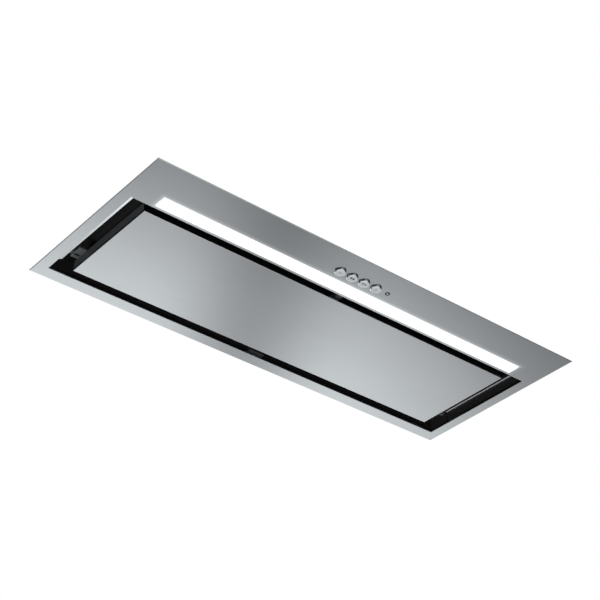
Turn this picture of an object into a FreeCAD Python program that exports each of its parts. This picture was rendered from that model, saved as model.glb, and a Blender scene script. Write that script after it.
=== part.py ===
"""Built-in range hood with a hinged suction panel, light strip, push buttons and blower.

Millimetres, +Z up, +X to the right seen from the front, +Y to the back.
The origin is the middle of the seat, the plane of the hem that rests against the cabinet's underside.
"""
import FreeCAD, Part
import math
import os

Vector = FreeCAD.Vector

# Face plate: a sheet with a hem folded back over its edge
PLATE_WIDTH = 720.0
PLATE_DEPTH = 298.0
PLATE_SHEET = 1.0
HEM_WIDTH = 8.0
HEM_ROUND = 0.8
SIDE_BORDER = 17.0
BACK_BORDER = 20.0
FRONT_BORDER = 83.5
FLANGE_HEIGHT = 3.5
BEND_ROUND = 0.6
LEAD_LIP_WIDTH = 4.3
LEAD_LIP_RISE = 1.65
LEAD_LIP_SET = 0.7
LEAD_LIP_STOP = 26.0

# Body: a wrap of black sheet with two end walls nested in it
BODY_HEIGHT = 97.0
BODY_SHEET = 0.8
NEST_GAP = 0.25
LIP_WIDTH = 12.0
LIP_CLEAR = 4.0
RAIL_THICK = 3.0
RAIL_HEIGHT = 8.0
RAIL_RISE = 20.0
RAIL_CHAMFER = 0.6

# Suction panel: a folded tray with a liner in it
PANEL_SIDE_GAP = 28.4
PANEL_FRONT_GAP = 13.3
PANEL_BACK_GAP = 15.0
PANEL_RECESS = 0.5
PANEL_SHEET = 0.8
PANEL_WALL = 16.0
PANEL_SIDE_HEM = 2.5
PANEL_ROUND = 0.6
LINER_SHEET = 0.6
LINER_GAP = 0.2

# Panel hinge, catch and stop
HINGE_INSET = 12.0
HINGE_RISE = 21.0
HINGE_STEEL = 1.5
HINGE_PIN_RADIUS = 2.5
HINGE_SHOULDER = 2.0
HINGE_PIN_TAIL = 3.0
RUNNING_FIT = 0.05
ARM_REACH = 10.0
ARM_LENGTH = 28.0
ARM_DEPTH = 24.0
ARM_EDGE = 5.5
ARM_SLOT = 4.0
BRACKET_DEPTH = 34.0
BRACKET_HEIGHT = 32.0
BRACKET_EDGE = 0.8
CATCH_WIDTH = 9.0
CATCH_HEIGHT = 7.0
CATCH_RISE = 5.0
CATCH_GAP = 1.0
MAGNET_DEPTH = 3.0
MAGNET_RIM = 1.2
STOP_WIDTH = 25.0
STOP_HEIGHT = 5.0
STOP_RISE = 3.5
STOP_GAP = 0.5

# Light strip
LIGHT_END_SET = 32.8
LIGHT_WIDTH = 19.7
LIGHT_SETBACK = 5.4
LIGHT_GAP = 0.25
DIFFUSER_PROUD = 1.2
DIFFUSER_ROUND = 1.0
DIFFUSER_LIP = 0.8
DIFFUSER_LIP_THICK = 1.6
CHANNEL_HEIGHT = 14.0
CHANNEL_WALL = 1.2
CHANNEL_SLACK = 0.2
CAP_LENGTH = 3.0
LIGHT_BOARD_THICK = 1.6
DIODE_SIZE = 3.0
DIODE_HEIGHT = 0.8
DIODE_COUNT = 42

# Push buttons and indicator
BUTTON_COUNT = 4
BUTTON_RADIUS = 8.2
BUTTON_PITCH = 20.7
BUTTON_SETBACK = 40.2
BUTTON_PROUD = 2.8
BUTTON_TAPER = 0.2
BUTTON_TRAVEL = 2.5
BUTTON_GAP = 0.35
BUTTON_COLLAR = 1.2
BUTTON_COLLAR_THICK = 2.0
BUTTON_ROUND = 0.7
STEM_RADIUS = 2.5
STEM_LENGTH = 14.0
INDICATOR_RADIUS = 3.0
LENS_RADIUS = 1.9
LENS_COLLAR = 1.2
LENS_COLLAR_THICK = 1.5
LENS_LENGTH = 9.0
BANK_DEPTH = 24.0
BANK_END = 12.0
BANK_HEIGHT = 22.0
BANK_FLOOR = 10.0
BANK_BORE_GAP = 0.5
BANK_EAR = 12.0
BANK_EAR_THICK = 3.0
BANK_BOARD_THICK = 1.6
BANK_BOARD_EDGE = 1.0

# Weld studs on the plate, with nuts
STUD_RADIUS = 1.5
STUD_GAP = 0.15
NUT_WIDTH = 5.5
NUT_HEIGHT = 2.4
STUD_TAIL = 1.2
STUD_CORNER = 44.0
LONG_STUD_COUNT = 4
END_STUD_COUNT = 2

# Grease filters in their tray
FILTER_SIDE_SET = 49.25
FILTER_MIDDLE_GAP = 18.0
FILTER_FRONT_SET = 17.0
FILTER_BACK_SET = 17.5
FILTER_THICK = 9.0
FILTER_ABOVE_PANEL = 20.0
FILTER_PLAY = 1.0
FILTER_BAR = 12.0
FILTER_LATCH_BAR = 28.0
FILTER_SKIN = 1.5
FILTER_CORNER = 5.0
MESH_THICK = 5.0
MESH_GAP = 0.2
MESH_LONG_PITCH = 16.0
MESH_SHORT_PITCH = 11.0
MESH_STRAND = 2.2
TRAY_SHEET = 0.8
TRAY_EDGE = 8.0
LEDGE_WIDTH = 5.0
LATCH_WIDTH = 60.0
LATCH_BODY = 16.0
LATCH_TRAVEL = 5.0
LATCH_GAP = 0.3
LATCH_RIB = 1.6
LATCH_RIB_THICK = 2.0
LATCH_SET = 1.0
TONGUE_WIDTH = 34.0
TONGUE_THICK = 2.5
TONGUE_REACH = 5.0
TONGUE_HOLD = 2.5
TONGUE_RISE = 4.0
LATCH_GRIP_DEPTH = 2.5

# Spring clips on the ends
CLIP_WIDTH = 22.0
CLIP_STEEL = 0.8
CLIP_CORNER = 62.0
CLIP_TOP = 78.0
CLIP_ROOT = 54.0
CLIP_KNEE = 27.0
CLIP_TOE = 18.6
CLIP_BULGE = 10.0
CLIP_TOE_GAP = 2.5

# Blower housing
HOUSING_WIDTH = 330.0
HOUSING_SET_IN = 6.05
HOUSING_HEIGHT = 179.0
HOUSING_SHEET = 0.8
HOUSING_FOOT = 13.0
HOUSING_INLET_EDGE = 10.0

# Stiffening beads pressed outwards in the sheets
BEAD_ROUND = 8.0
BEAD_HEIGHT = 1.5
BEAD_END_SET = 32.0
BEAD_LOW_SET = 46.0
HOUSING_BEAD_COUNT = 3

# Scroll, impeller and motor: the shaft runs along X
FAN_DROP = 80.0
FAN_FORWARD_SHARE = 0.216
SCROLL_START = 71.0
SCROLL_END = 102.0
SCROLL_TONGUE = 24.0
SCROLL_WIDTH = 124.0
SCROLL_WALL = 2.0
SCROLL_ARCS = 6
SCROLL_LIP = 9.0
INLET_RADIUS = 56.0
WHEEL_RADIUS = 65.0
WHEEL_INNER = 54.0
WHEEL_WIDTH = 108.0
WHEEL_RING = 2.5
WHEEL_DISC = 2.0
BLADE_COUNT = 30
BLADE_THICK = 0.9
BLADE_LEAN = 11.0
BLADE_BOW = 2.5
HUB_RADIUS = 10.0
HUB_LENGTH = 14.0
SHAFT_RADIUS = 4.0
SHAFT_TAIL = 6.0
MOTOR_RADIUS = 40.0
MOTOR_END = 8.0
MOTOR_ROUND = 4.0
SPIDER_THICK = 3.0
SPIDER_RING = 12.0
SPIDER_HUB = 26.0
SPIDER_ARM = 14.0
SPIDER_ARMS = 3

# Outlet collar and non-return flaps
COLLAR_RADIUS = 74.5
COLLAR_WALL = 2.0
COLLAR_HEIGHT = 45.0
COLLAR_FLANGE = 10.5
COLLAR_FLANGE_THICK = 3.0
COLLAR_CHAMFER = 1.0
FLAP_RISE = 14.0
FLAP_THICK = 1.4
FLAP_GAP = 0.8
FLAP_PIN_RADIUS = 1.5
FLAP_PIN_OFFSET = 4.5
FLAP_EYE_WALL = 1.4
FLAP_EYE_INSET = 8.0
FLAP_LEDGE = 2.5
FLAP_LEDGE_THICK = 2.0

# Control box, cable gland and motor lead
BOX_END_SET = 27.25
BOX_DEPTH = 90.0
BOX_HEIGHT = 38.0
BOX_WALL = 2.0
BOX_STANDOFF = 32.0
BOX_EAR = 14.0
BOX_LID = 2.5
BOX_ROUND = 3.0
GLAND_BORE = 4.0
GLAND_BODY = 7.0
GLAND_NUT = 9.0
GLAND_THREAD = 5.0
GLAND_NUT_LENGTH = 6.0
GLAND_CAP_LENGTH = 10.0
GLAND_RISE = 18.0
MAIN_BOARD_EDGE = 6.0
MAIN_BOARD_THICK = 1.6
MAIN_BOARD_RISE = 6.0
CAPACITOR_RADIUS = 9.0
CAPACITOR_LENGTH = 36.0
LEAD_RADIUS = 3.5
LEAD_RISE = 20.0

# Fasteners
RIVET_SHANK = 1.6
RIVET_HEAD = 3.2
RIVET_HEAD_HEIGHT = 1.2
RIVET_TAIL = 2.4
RIVET_GAP = 0.05
SCREW_SHANK = 1.9
SCREW_HEAD = 3.6
SCREW_HEAD_HEIGHT = 2.4
SCREW_SLOT = 0.9
SCREW_LENGTH = 8.0
SCREW_GAP = 0.1

# Slack that lets a cutting shape run clear of what it cuts
CUT = 2.0
TINY = 1e-4

# Levels and edges that follow from the sizes above
SEAT = 0.0
SHEET_TOP = SEAT - PLATE_SHEET
FACE = SHEET_TOP - PLATE_SHEET
PLATE_X = PLATE_WIDTH / 2
PLATE_Y = PLATE_DEPTH / 2
OPEN_X = PLATE_X - SIDE_BORDER
OPEN_BACK = PLATE_Y - BACK_BORDER
OPEN_FRONT = FRONT_BORDER - PLATE_Y
FLANGE_TOP = FACE + FLANGE_HEIGHT
WALL_X = OPEN_X + PLATE_SHEET + NEST_GAP
WALL_Y = OPEN_BACK + PLATE_SHEET + NEST_GAP
BODY_X = WALL_X + BODY_SHEET
BODY_Y = WALL_Y + BODY_SHEET
BODY_TOP = SHEET_TOP + BODY_HEIGHT
FOOT_X = PLATE_X - HEM_WIDTH - NEST_GAP
FOOT_Y = PLATE_Y - HEM_WIDTH - NEST_GAP
PANEL_X = OPEN_X - PANEL_SIDE_GAP
PANEL_BACK = OPEN_BACK - PANEL_BACK_GAP
PANEL_FRONT = OPEN_FRONT + PANEL_FRONT_GAP
PANEL_FACE = FACE + PANEL_RECESS
PANEL_TOP = PANEL_FACE + PANEL_WALL
HINGE_Y = PANEL_BACK - HINGE_INSET
HINGE_Z = PANEL_FACE + HINGE_RISE
LUG_X = PANEL_X + ARM_REACH
DIVIDER_BACK = OPEN_FRONT - PLATE_SHEET - NEST_GAP
DIVIDER_FRONT = DIVIDER_BACK - BODY_SHEET
LIGHT_BACK = OPEN_FRONT - LIGHT_SETBACK
LIGHT_FRONT = LIGHT_BACK - LIGHT_WIDTH
LIGHT_X = OPEN_X - LIGHT_END_SET
BUTTON_Y = BUTTON_SETBACK - PLATE_Y
CONTROL_X = [BUTTON_PITCH * (i - BUTTON_COUNT / 2) for i in range(BUTTON_COUNT + 1)]
INDICATOR_X = CONTROL_X[-1]
BANK_LEFT = CONTROL_X[0] - BANK_END
BANK_RIGHT = CONTROL_X[-1] + BANK_END
BANK_TOP = SHEET_TOP + BANK_HEIGHT
FILTER_BOTTOM = PANEL_TOP + FILTER_ABOVE_PANEL
FILTER_TOP = FILTER_BOTTOM + FILTER_THICK
FILTER_BACK = OPEN_BACK - FILTER_BACK_SET
FILTER_FRONT = OPEN_FRONT + FILTER_FRONT_SET
FILTER_WIDTH = WALL_X - FILTER_SIDE_SET - FILTER_MIDDLE_GAP / 2
FILTER_PITCH = FILTER_WIDTH + FILTER_MIDDLE_GAP
TRAY_TOP = FILTER_TOP + TRAY_SHEET
TONGUE_BOTTOM = FILTER_BOTTOM + TONGUE_RISE
HOUSING_X = HOUSING_WIDTH / 2
HOUSING_Y = BODY_Y - HOUSING_SET_IN
HOUSING_TOP = BODY_TOP + HOUSING_HEIGHT
SCROLL_TOP = HOUSING_TOP - HOUSING_SHEET
SCROLL_X = SCROLL_WIDTH / 2
FAN_Y = -FAN_FORWARD_SHARE * HOUSING_Y
FAN_Z = SCROLL_TOP - FAN_DROP
OUTLET_FRONT = FAN_Y + SCROLL_TONGUE
OUTLET_BACK = FAN_Y + SCROLL_END
COLLAR_Y = (OUTLET_FRONT + OUTLET_BACK) / 2
COLLAR_BORE = COLLAR_RADIUS - COLLAR_WALL
FLAP_Z = HOUSING_TOP + FLAP_RISE
BOX_RIGHT = -HOUSING_X - BOX_STANDOFF
BOX_LEFT = BOX_END_SET - WALL_X
BOX_TOP = BODY_TOP + BOX_HEIGHT
CLIP_PLACES = (CLIP_CORNER - WALL_Y, WALL_Y - CLIP_CORNER)

UP = Vector(0, 0, 1)
RIGHT = Vector(1, 0, 0)
LEFT = Vector(-1, 0, 0)
BACK = Vector(0, 1, 0)
FRONT = Vector(0, -1, 0)


# Shape helpers

def block(x0, x1, y0, y1, z0, z1):
    """Box between two corners."""
    return Part.makeBox(x1 - x0, y1 - y0, z1 - z0, Vector(x0, y0, z0))


def ring(x, y0, y1, z0, z1, wall):
    """Rectangular frame about the plane x = 0, with its wall outside the given edges."""
    outer = block(-x - wall, x + wall, y0 - wall, y1 + wall, z0, z1)
    return outer.cut(block(-x, x, y0, y1, z0, z1))


def rod(radius, start, direction, length):
    """Cylinder from a start point along a direction."""
    return Part.makeCylinder(radius, length, Vector(*start), direction)


def join(first, *others):
    """One solid from pieces that touch or overlap."""
    joined = first.fuse(list(others)).removeSplitter()
    return joined.Solids[0] if len(joined.Solids) == 1 else joined


def mirrored(shape):
    """Twin of a shape on the other side of the plane x = 0."""
    return shape.mirror(Vector(0, 0, 0), RIGHT)


def moved(shape, x=0.0, y=0.0, z=0.0):
    """Copy of a shape shifted by a distance."""
    copy = shape.copy()
    copy.translate(Vector(x, y, z))
    return copy


def edges_where(shape, test):
    """Edges of a shape whose two ends both meet a test."""
    return [edge for edge in shape.Edges if all(test(vertex.Point) for vertex in edge.Vertexes)]


def prism(points, direction):
    """Flat polygon pushed along a direction."""
    corners = [Vector(*point) for point in points]
    return Part.Face(Part.makePolygon(corners + corners[:1])).extrude(direction)


def strip(path, thickness):
    """Outline of a bent strip: its path, and the same path shifted to its left with mitred corners."""
    normals = []
    for (u0, w0), (u1, w1) in zip(path, path[1:]):
        length = math.hypot(u1 - u0, w1 - w0)
        normals.append(((w0 - w1) / length, (u1 - u0) / length))
    shifted = []
    for index, (u, w) in enumerate(path):
        before = normals[max(index - 1, 0)]
        after = normals[min(index, len(normals) - 1)]
        spread = 1 + before[0] * after[0] + before[1] * after[1]
        shifted.append((u + thickness * (before[0] + after[0]) / spread,
                        w + thickness * (before[1] + after[1]) / spread))
    return list(path) + shifted[::-1]


def upright_edges(box):
    """Four vertical edges of a plain box."""
    return [edge for edge in box.Edges if abs(edge.Length - edge.BoundBox.ZLength) < TINY]


def bead(start, end, outward):
    """Low rounded bead on the outside of a sheet, between two points of its surface."""
    start, end = Vector(*start), Vector(*end)
    sink = outward * (BEAD_ROUND - BEAD_HEIGHT)
    along = end - start
    bar = Part.makeCylinder(BEAD_ROUND, along.Length, start - sink, along)
    caps = [Part.makeSphere(BEAD_ROUND, point - sink) for point in (start, end)]
    middle = (start + end) / 2
    reach = along.Length + 2 * BEAD_ROUND
    inside = Part.makeCylinder(reach, 2 * BEAD_ROUND, middle, -outward)
    return bar.fuse(caps).cut(inside)


# Fasteners: each call gives the solid and the hole that it passes through

def rivet(point, outward, grip):
    """Blind rivet with its head on the outside of the sheets."""
    base = Vector(*point)
    inner = base - outward * grip
    head = Part.makeCone(RIVET_HEAD, RIVET_TAIL, RIVET_HEAD_HEIGHT, base, outward)
    shank = Part.makeCylinder(RIVET_SHANK, grip, inner, outward)
    tail = Part.makeCylinder(RIVET_TAIL, RIVET_HEAD_HEIGHT, inner, -outward)
    hole = Part.makeCylinder(RIVET_SHANK + RIVET_GAP, grip, inner, outward)
    return join(head, shank, tail), hole


def screw(point, outward):
    """Pan-head screw with a cross slot, its head on the given point."""
    base = Vector(*point)
    head = Part.makeCylinder(SCREW_HEAD, SCREW_HEAD_HEIGHT, base, outward)
    rim = [edge for edge in head.Edges if len(edge.Vertexes) == 1
           and (edge.Vertexes[0].Point - base).dot(outward) > TINY]
    head = head.makeFillet(SCREW_HEAD_HEIGHT / 3, rim)
    shank = Part.makeCylinder(SCREW_SHANK, SCREW_LENGTH, base - outward * SCREW_LENGTH, outward)
    solid = join(head, shank)
    sides = [axis for axis in (RIGHT, BACK, UP) if abs(axis.dot(outward)) < 0.5]
    for along, across in (sides, sides[::-1]):
        half = along * SCREW_HEAD / 2 + across * SCREW_SLOT / 2
        depth = outward * SCREW_HEAD_HEIGHT / 2
        corner = base + depth - half
        length, width = along * SCREW_HEAD, across * SCREW_SLOT
        solid = solid.cut(prism([corner, corner + length, corner + length + width, corner + width], depth))
    hole_start = base - outward * (SCREW_LENGTH + CUT / 2)
    hole = Part.makeCylinder(SCREW_SHANK + SCREW_GAP, SCREW_LENGTH + CUT, hole_start, outward)
    return solid, hole


def end_rivets(side, x, y, top, low, sheet, top_shares):
    """Rivets through a wrap and the lips of the end wall nested in it."""
    lip_x = side * (x - sheet - LIP_WIDTH / 2)
    rivets = [rivet((lip_x, share * y, top), UP, 2 * sheet) for share in top_shares]
    for height in (low, top - 2 * LIP_WIDTH):
        rivets.append(rivet((lip_x, -y, height), FRONT, 2 * sheet))
        rivets.append(rivet((lip_x, y, height), BACK, 2 * sheet))
    return rivets


def wall_rivets(side):
    """Rivets through a body end wall: spring clips, hinge bracket and filter tray."""
    outward = RIGHT * side
    places = [(BODY_X + CLIP_STEEL, place, height, CLIP_STEEL) for place in CLIP_PLACES
              for height in clip_rivet_heights()]
    places += [(BODY_X, place, bracket_rivet_height(), HINGE_STEEL) for place in bracket_rivet_places()]
    places += [(BODY_X, share * WALL_Y, TRAY_TOP - TRAY_EDGE / 2, TRAY_SHEET) for share in (-0.25, 0.25)]
    return [rivet((side * x, y, z), outward, BODY_SHEET + backing) for x, y, z, backing in places]


def plan_rivets():
    """All rivets of the body and the blower housing."""
    rivets = []
    for side in (-1, 1):
        rivets += end_rivets(side, BODY_X, BODY_Y, BODY_TOP, FLANGE_TOP + 2 * LIP_WIDTH, BODY_SHEET,
                             (-0.7, 0.0, 0.7))
        rivets += end_rivets(side, HOUSING_X, HOUSING_Y, HOUSING_TOP, BODY_TOP + 2 * LIP_WIDTH, HOUSING_SHEET,
                             (-0.7, 0.7))
        rivets += wall_rivets(side)
    return rivets


def plan_panel_rivets():
    """Rivets that hold the hinge arms on the panel's liner."""
    x = (LUG_X - ARM_LENGTH + PANEL_X) / 2
    quarter = ARM_DEPTH / 4
    back = HINGE_Y + ARM_EDGE
    return [rivet((side * x, back - step * quarter, PANEL_TOP + HINGE_STEEL), UP, HINGE_STEEL + LINER_SHEET)
            for side in (-1, 1) for step in (1, 3)]


def plan_screws():
    """Screws of the housing feet, collar, scroll, motor spider, control box ears and lid."""
    screws = []
    foot_x = HOUSING_X + HOUSING_FOOT / 2
    foot_y = HOUSING_Y - 2 * HOUSING_FOOT
    lip_x = SCROLL_X + SCROLL_LIP / 2
    collar_seat = HOUSING_TOP + COLLAR_FLANGE_THICK
    reach = (COLLAR_RADIUS + COLLAR_FLANGE / 2) * math.sqrt(0.5)
    for side in (-1, 1):
        for end in (-1, 1):
            screws.append(screw((side * foot_x, end * foot_y, BODY_TOP + HOUSING_SHEET), UP))
            screws.append(screw((side * reach, COLLAR_Y + end * reach, collar_seat), UP))
            screws.append(screw((side * lip_x, COLLAR_Y + end * SCROLL_LIP, HOUSING_TOP), UP))
    for index in range(SPIDER_ARMS):
        turn = math.radians(90 + 360 * index / SPIDER_ARMS)
        ring_middle = INLET_RADIUS + SPIDER_RING / 2
        screws.append(screw((-SCROLL_X - SPIDER_THICK, FAN_Y + ring_middle * math.cos(turn),
                             FAN_Z + ring_middle * math.sin(turn)), LEFT))
    for x in (BOX_LEFT - BOX_EAR / 2, BOX_RIGHT + BOX_EAR / 2):
        screws.append(screw((x, 0, BODY_TOP + BOX_WALL), UP))
    for x in (BOX_LEFT + box_post(), BOX_RIGHT - box_post()):
        for y in (-BOX_DEPTH / 2 + box_post(), BOX_DEPTH / 2 - box_post()):
            screws.append(screw((x, y, BOX_TOP + BOX_LID), UP))
    return screws


def clip_rivet_heights():
    """Two rivet heights in a clip's flat root."""
    quarter = (CLIP_TOP - CLIP_ROOT) / 4
    return CLIP_ROOT + quarter, CLIP_TOP - quarter


def bracket_back():
    """Back edge of a hinge bracket, ahead of the end wall's back lip."""
    return WALL_Y - BODY_SHEET - BRACKET_EDGE


def bracket_front():
    """Front edge of a hinge bracket."""
    return bracket_back() - BRACKET_DEPTH


def bracket_bottom():
    """Lower edge of a hinge bracket, clear of the plate's flange."""
    return FLANGE_TOP + BRACKET_EDGE


def bracket_rivet_places():
    """Two rivet places along a hinge bracket."""
    quarter = (bracket_back() - bracket_front()) / 4
    return bracket_front() + quarter, bracket_back() - quarter


def bracket_rivet_height():
    """Rivet height of a hinge bracket, above the pin's shoulder."""
    return bracket_bottom() + BRACKET_HEIGHT - 2 * RIVET_HEAD


def box_post():
    """Distance of the control box's screw posts from its outer faces, so that they grow into the walls."""
    return SCREW_HEAD + BOX_WALL / 2


def pierced(shape, holes):
    """Shape with every fastener hole that reaches it cut through."""
    near = [hole for hole in holes if hole.BoundBox.intersect(shape.BoundBox)]
    return shape.cut(near) if near else shape


# Face plate and what it carries

def spread(reach, count):
    """Even places from one side of the middle to the other."""
    return [reach * (2 * index / (count - 1) - 1) for index in range(count)]


def stud_places():
    """Weld stud places on the plate: under the body's feet and the switch bank's ears."""
    foot_y = (BODY_Y + FOOT_Y) / 2
    foot_x = (BODY_X + FOOT_X) / 2
    ear = BANK_EAR / 2
    places = [(x, BUTTON_Y, BANK_EAR_THICK) for x in (BANK_LEFT - ear, BANK_RIGHT + ear)]
    for side in (-1, 1):
        places += [(x, side * foot_y, BODY_SHEET) for x in spread(BODY_X - STUD_CORNER, LONG_STUD_COUNT)]
        places += [(side * foot_x, y, BODY_SHEET) for y in spread(BODY_Y - STUD_CORNER, END_STUD_COUNT)]
    return places


def stud_holes():
    """Clearance holes of the weld studs."""
    return [rod(STUD_RADIUS + STUD_GAP, (x, y, SHEET_TOP - CUT), UP, grip + 2 * CUT)
            for x, y, grip in stud_places()]


def make_face_plate():
    """Stainless frame with hem, flange, light window, button holes and weld studs."""
    sheet = block(-PLATE_X, PLATE_X, -PLATE_Y, PLATE_Y, FACE, SHEET_TOP)
    hem = ring(PLATE_X - HEM_WIDTH, HEM_WIDTH - PLATE_Y, PLATE_Y - HEM_WIDTH, SHEET_TOP, SEAT, HEM_WIDTH)
    flange = ring(OPEN_X, OPEN_FRONT, OPEN_BACK, FACE, FLANGE_TOP, PLATE_SHEET)
    opening = block(-OPEN_X, OPEN_X, OPEN_FRONT, OPEN_BACK, FACE - CUT, FLANGE_TOP + CUT)
    plate = join(sheet.cut(opening), hem, flange)

    def on_bend(point):
        inside_x = abs(point.x) < OPEN_X + TINY
        return abs(point.z - FACE) < TINY and inside_x and OPEN_FRONT - TINY < point.y < OPEN_BACK + TINY

    plate = plate.makeFillet(BEND_ROUND, edges_where(plate, on_bend))

    def on_rim(point):
        return abs(abs(point.x) - PLATE_X) < TINY and abs(abs(point.y) - PLATE_Y) < TINY

    rim = [edge for edge in edges_where(plate, on_rim) if edge.Length > 2 * PLATE_SHEET + TINY]
    plate = plate.makeFillet(HEM_ROUND, rim)
    studs = [rod(STUD_RADIUS, (x, y, SHEET_TOP), UP, grip + NUT_HEIGHT + STUD_TAIL)
             for x, y, grip in stud_places()]
    plate = join(plate, make_lead_lip(), *studs)
    cuts = [block(-LIGHT_X, LIGHT_X, LIGHT_FRONT, LIGHT_BACK, FACE - CUT, SHEET_TOP + CUT)]
    cuts += [rod(BUTTON_RADIUS + BUTTON_GAP, (x, BUTTON_Y, FACE - CUT), UP, PLATE_SHEET + 2 * CUT)
             for x in CONTROL_X[:-1]]
    cuts.append(rod(INDICATOR_RADIUS, (INDICATOR_X, BUTTON_Y, FACE - CUT), UP, PLATE_SHEET + 2 * CUT))
    return plate.cut(cuts)


def make_lead_lip():
    """Narrow sloping lip inside the opening's left edge, which stops short of the back corner."""
    low = FACE + LEAD_LIP_SET
    outline = [(-OPEN_X, low), (LEAD_LIP_WIDTH - OPEN_X, low + LEAD_LIP_RISE)]
    points = [(x, OPEN_FRONT, z) for x, z in strip(outline, PLATE_SHEET)]
    return prism(points, BACK * (OPEN_BACK - LEAD_LIP_STOP - OPEN_FRONT))


def make_plate_nuts():
    """Hexagon nuts on the weld studs."""
    nuts = []
    corner = NUT_WIDTH / math.sqrt(3)
    for x, y, grip in stud_places():
        base = SHEET_TOP + grip
        turns = [math.radians(60 * i) for i in range(6)]
        points = [(x + corner * math.cos(turn), y + corner * math.sin(turn), base) for turn in turns]
        bore = rod(STUD_RADIUS + RUNNING_FIT, (x, y, base - CUT), UP, NUT_HEIGHT + 2 * CUT)
        nuts.append(prism(points, UP * NUT_HEIGHT).cut(bore))
    return Part.makeCompound(nuts)


def make_light_diffuser():
    """Opal strip that stands a little out of the window, rounded, with a lip behind the plate."""
    bottom = FACE - DIFFUSER_PROUD
    face = block(-LIGHT_X + LIGHT_GAP, LIGHT_X - LIGHT_GAP, LIGHT_FRONT + LIGHT_GAP, LIGHT_BACK - LIGHT_GAP,
                 bottom, SHEET_TOP)
    rim = [edge for edge in face.Edges if abs(edge.BoundBox.ZMax - bottom) < TINY]
    face = face.makeFillet(DIFFUSER_ROUND, rim)
    lip = block(-LIGHT_X - DIFFUSER_LIP, LIGHT_X + DIFFUSER_LIP, LIGHT_FRONT - DIFFUSER_LIP,
                LIGHT_BACK + DIFFUSER_LIP, SHEET_TOP, SHEET_TOP + DIFFUSER_LIP_THICK)
    return join(face, lip)


def channel_half():
    """Half length of the light channel between its end caps."""
    return LIGHT_X + DIFFUSER_LIP + CHANNEL_SLACK


def channel_edges():
    """Inner front and back faces of the light channel."""
    reach = DIFFUSER_LIP + CHANNEL_SLACK
    return LIGHT_FRONT - reach, LIGHT_BACK + reach


def make_light_channel():
    """Extruded aluminium channel behind the window."""
    front, back = channel_edges()
    top = SHEET_TOP + CHANNEL_HEIGHT
    outer = block(-channel_half(), channel_half(), front - CHANNEL_WALL, back + CHANNEL_WALL, SHEET_TOP, top)
    hollow = block(-channel_half(), channel_half(), front, back, SHEET_TOP, top - CHANNEL_WALL)
    return outer.cut(hollow)


def make_light_caps():
    """Plastic caps that close the channel's two ends."""
    front, back = channel_edges()
    cap = block(channel_half(), channel_half() + CAP_LENGTH, front - CHANNEL_WALL, back + CHANNEL_WALL,
                SHEET_TOP, SHEET_TOP + CHANNEL_HEIGHT)
    return Part.makeCompound([mirrored(cap), cap])


def make_light_board():
    """Circuit strip under the channel's top, with its row of diodes."""
    front, back = channel_edges()
    top = SHEET_TOP + CHANNEL_HEIGHT - CHANNEL_WALL
    bottom = top - LIGHT_BOARD_THICK
    pieces = [block(-LIGHT_X, LIGHT_X, front + CHANNEL_SLACK, back - CHANNEL_SLACK, bottom, top)]
    pitch = 2 * LIGHT_X / DIODE_COUNT
    middle = (front + back) / 2
    for index in range(DIODE_COUNT):
        x = -LIGHT_X + pitch * (index + 0.5)
        pieces.append(block(x - DIODE_SIZE / 2, x + DIODE_SIZE / 2, middle - DIODE_SIZE / 2,
                            middle + DIODE_SIZE / 2, bottom - DIODE_HEIGHT, bottom))
    return Part.makeCompound(pieces)


def make_button(x):
    """Round cap that narrows a little towards its face, with a holding collar and a stem."""
    bottom = FACE - BUTTON_PROUD
    low = Vector(x, BUTTON_Y, bottom)
    cap = Part.makeCone(BUTTON_RADIUS - BUTTON_TAPER, BUTTON_RADIUS, BUTTON_PROUD, low, UP)
    rim = [edge for edge in cap.Edges if abs(edge.BoundBox.ZMax - bottom) < TINY]
    cap = cap.makeFillet(BUTTON_ROUND, rim)
    neck = rod(BUTTON_RADIUS, (x, BUTTON_Y, FACE), UP, PLATE_SHEET)
    collar = rod(BUTTON_RADIUS + BUTTON_COLLAR, (x, BUTTON_Y, SHEET_TOP), UP, BUTTON_COLLAR_THICK)
    stem = rod(STEM_RADIUS, (x, BUTTON_Y, SHEET_TOP + BUTTON_COLLAR_THICK), UP, STEM_LENGTH)
    return join(cap, neck, collar, stem)


def make_indicator_lens():
    """Small clear lens beside the buttons."""
    lens = rod(LENS_RADIUS, (INDICATOR_X, BUTTON_Y, FACE), UP, LENS_LENGTH)
    collar = rod(INDICATOR_RADIUS + LENS_COLLAR, (INDICATOR_X, BUTTON_Y, SHEET_TOP), UP, LENS_COLLAR_THICK)
    return join(lens, collar)


def make_switch_bank():
    """Moulded switch block with a guide bore for each button and two ears on studs."""
    front, back = BUTTON_Y - BANK_DEPTH / 2, BUTTON_Y + BANK_DEPTH / 2
    body = block(BANK_LEFT, BANK_RIGHT, front, back, SHEET_TOP, BANK_TOP)
    ears = block(BANK_LEFT - BANK_EAR, BANK_RIGHT + BANK_EAR, front + BANK_END / 2, back - BANK_END / 2,
                 SHEET_TOP, SHEET_TOP + BANK_EAR_THICK)
    bank = join(body, ears)
    cuts = stud_holes()
    stem_depth = BUTTON_COLLAR_THICK + STEM_LENGTH + BUTTON_TRAVEL + BANK_BORE_GAP
    guide = BUTTON_RADIUS + BUTTON_COLLAR + BANK_BORE_GAP
    for x in CONTROL_X[:-1]:
        cuts.append(rod(guide, (x, BUTTON_Y, SHEET_TOP), UP, BANK_FLOOR))
        cuts.append(rod(STEM_RADIUS + RUNNING_FIT, (x, BUTTON_Y, SHEET_TOP), UP, stem_depth))
    lens_room = INDICATOR_RADIUS + LENS_COLLAR + BANK_BORE_GAP
    cuts.append(rod(lens_room, (INDICATOR_X, BUTTON_Y, SHEET_TOP), UP, LENS_LENGTH))
    return bank.cut(cuts)


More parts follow.
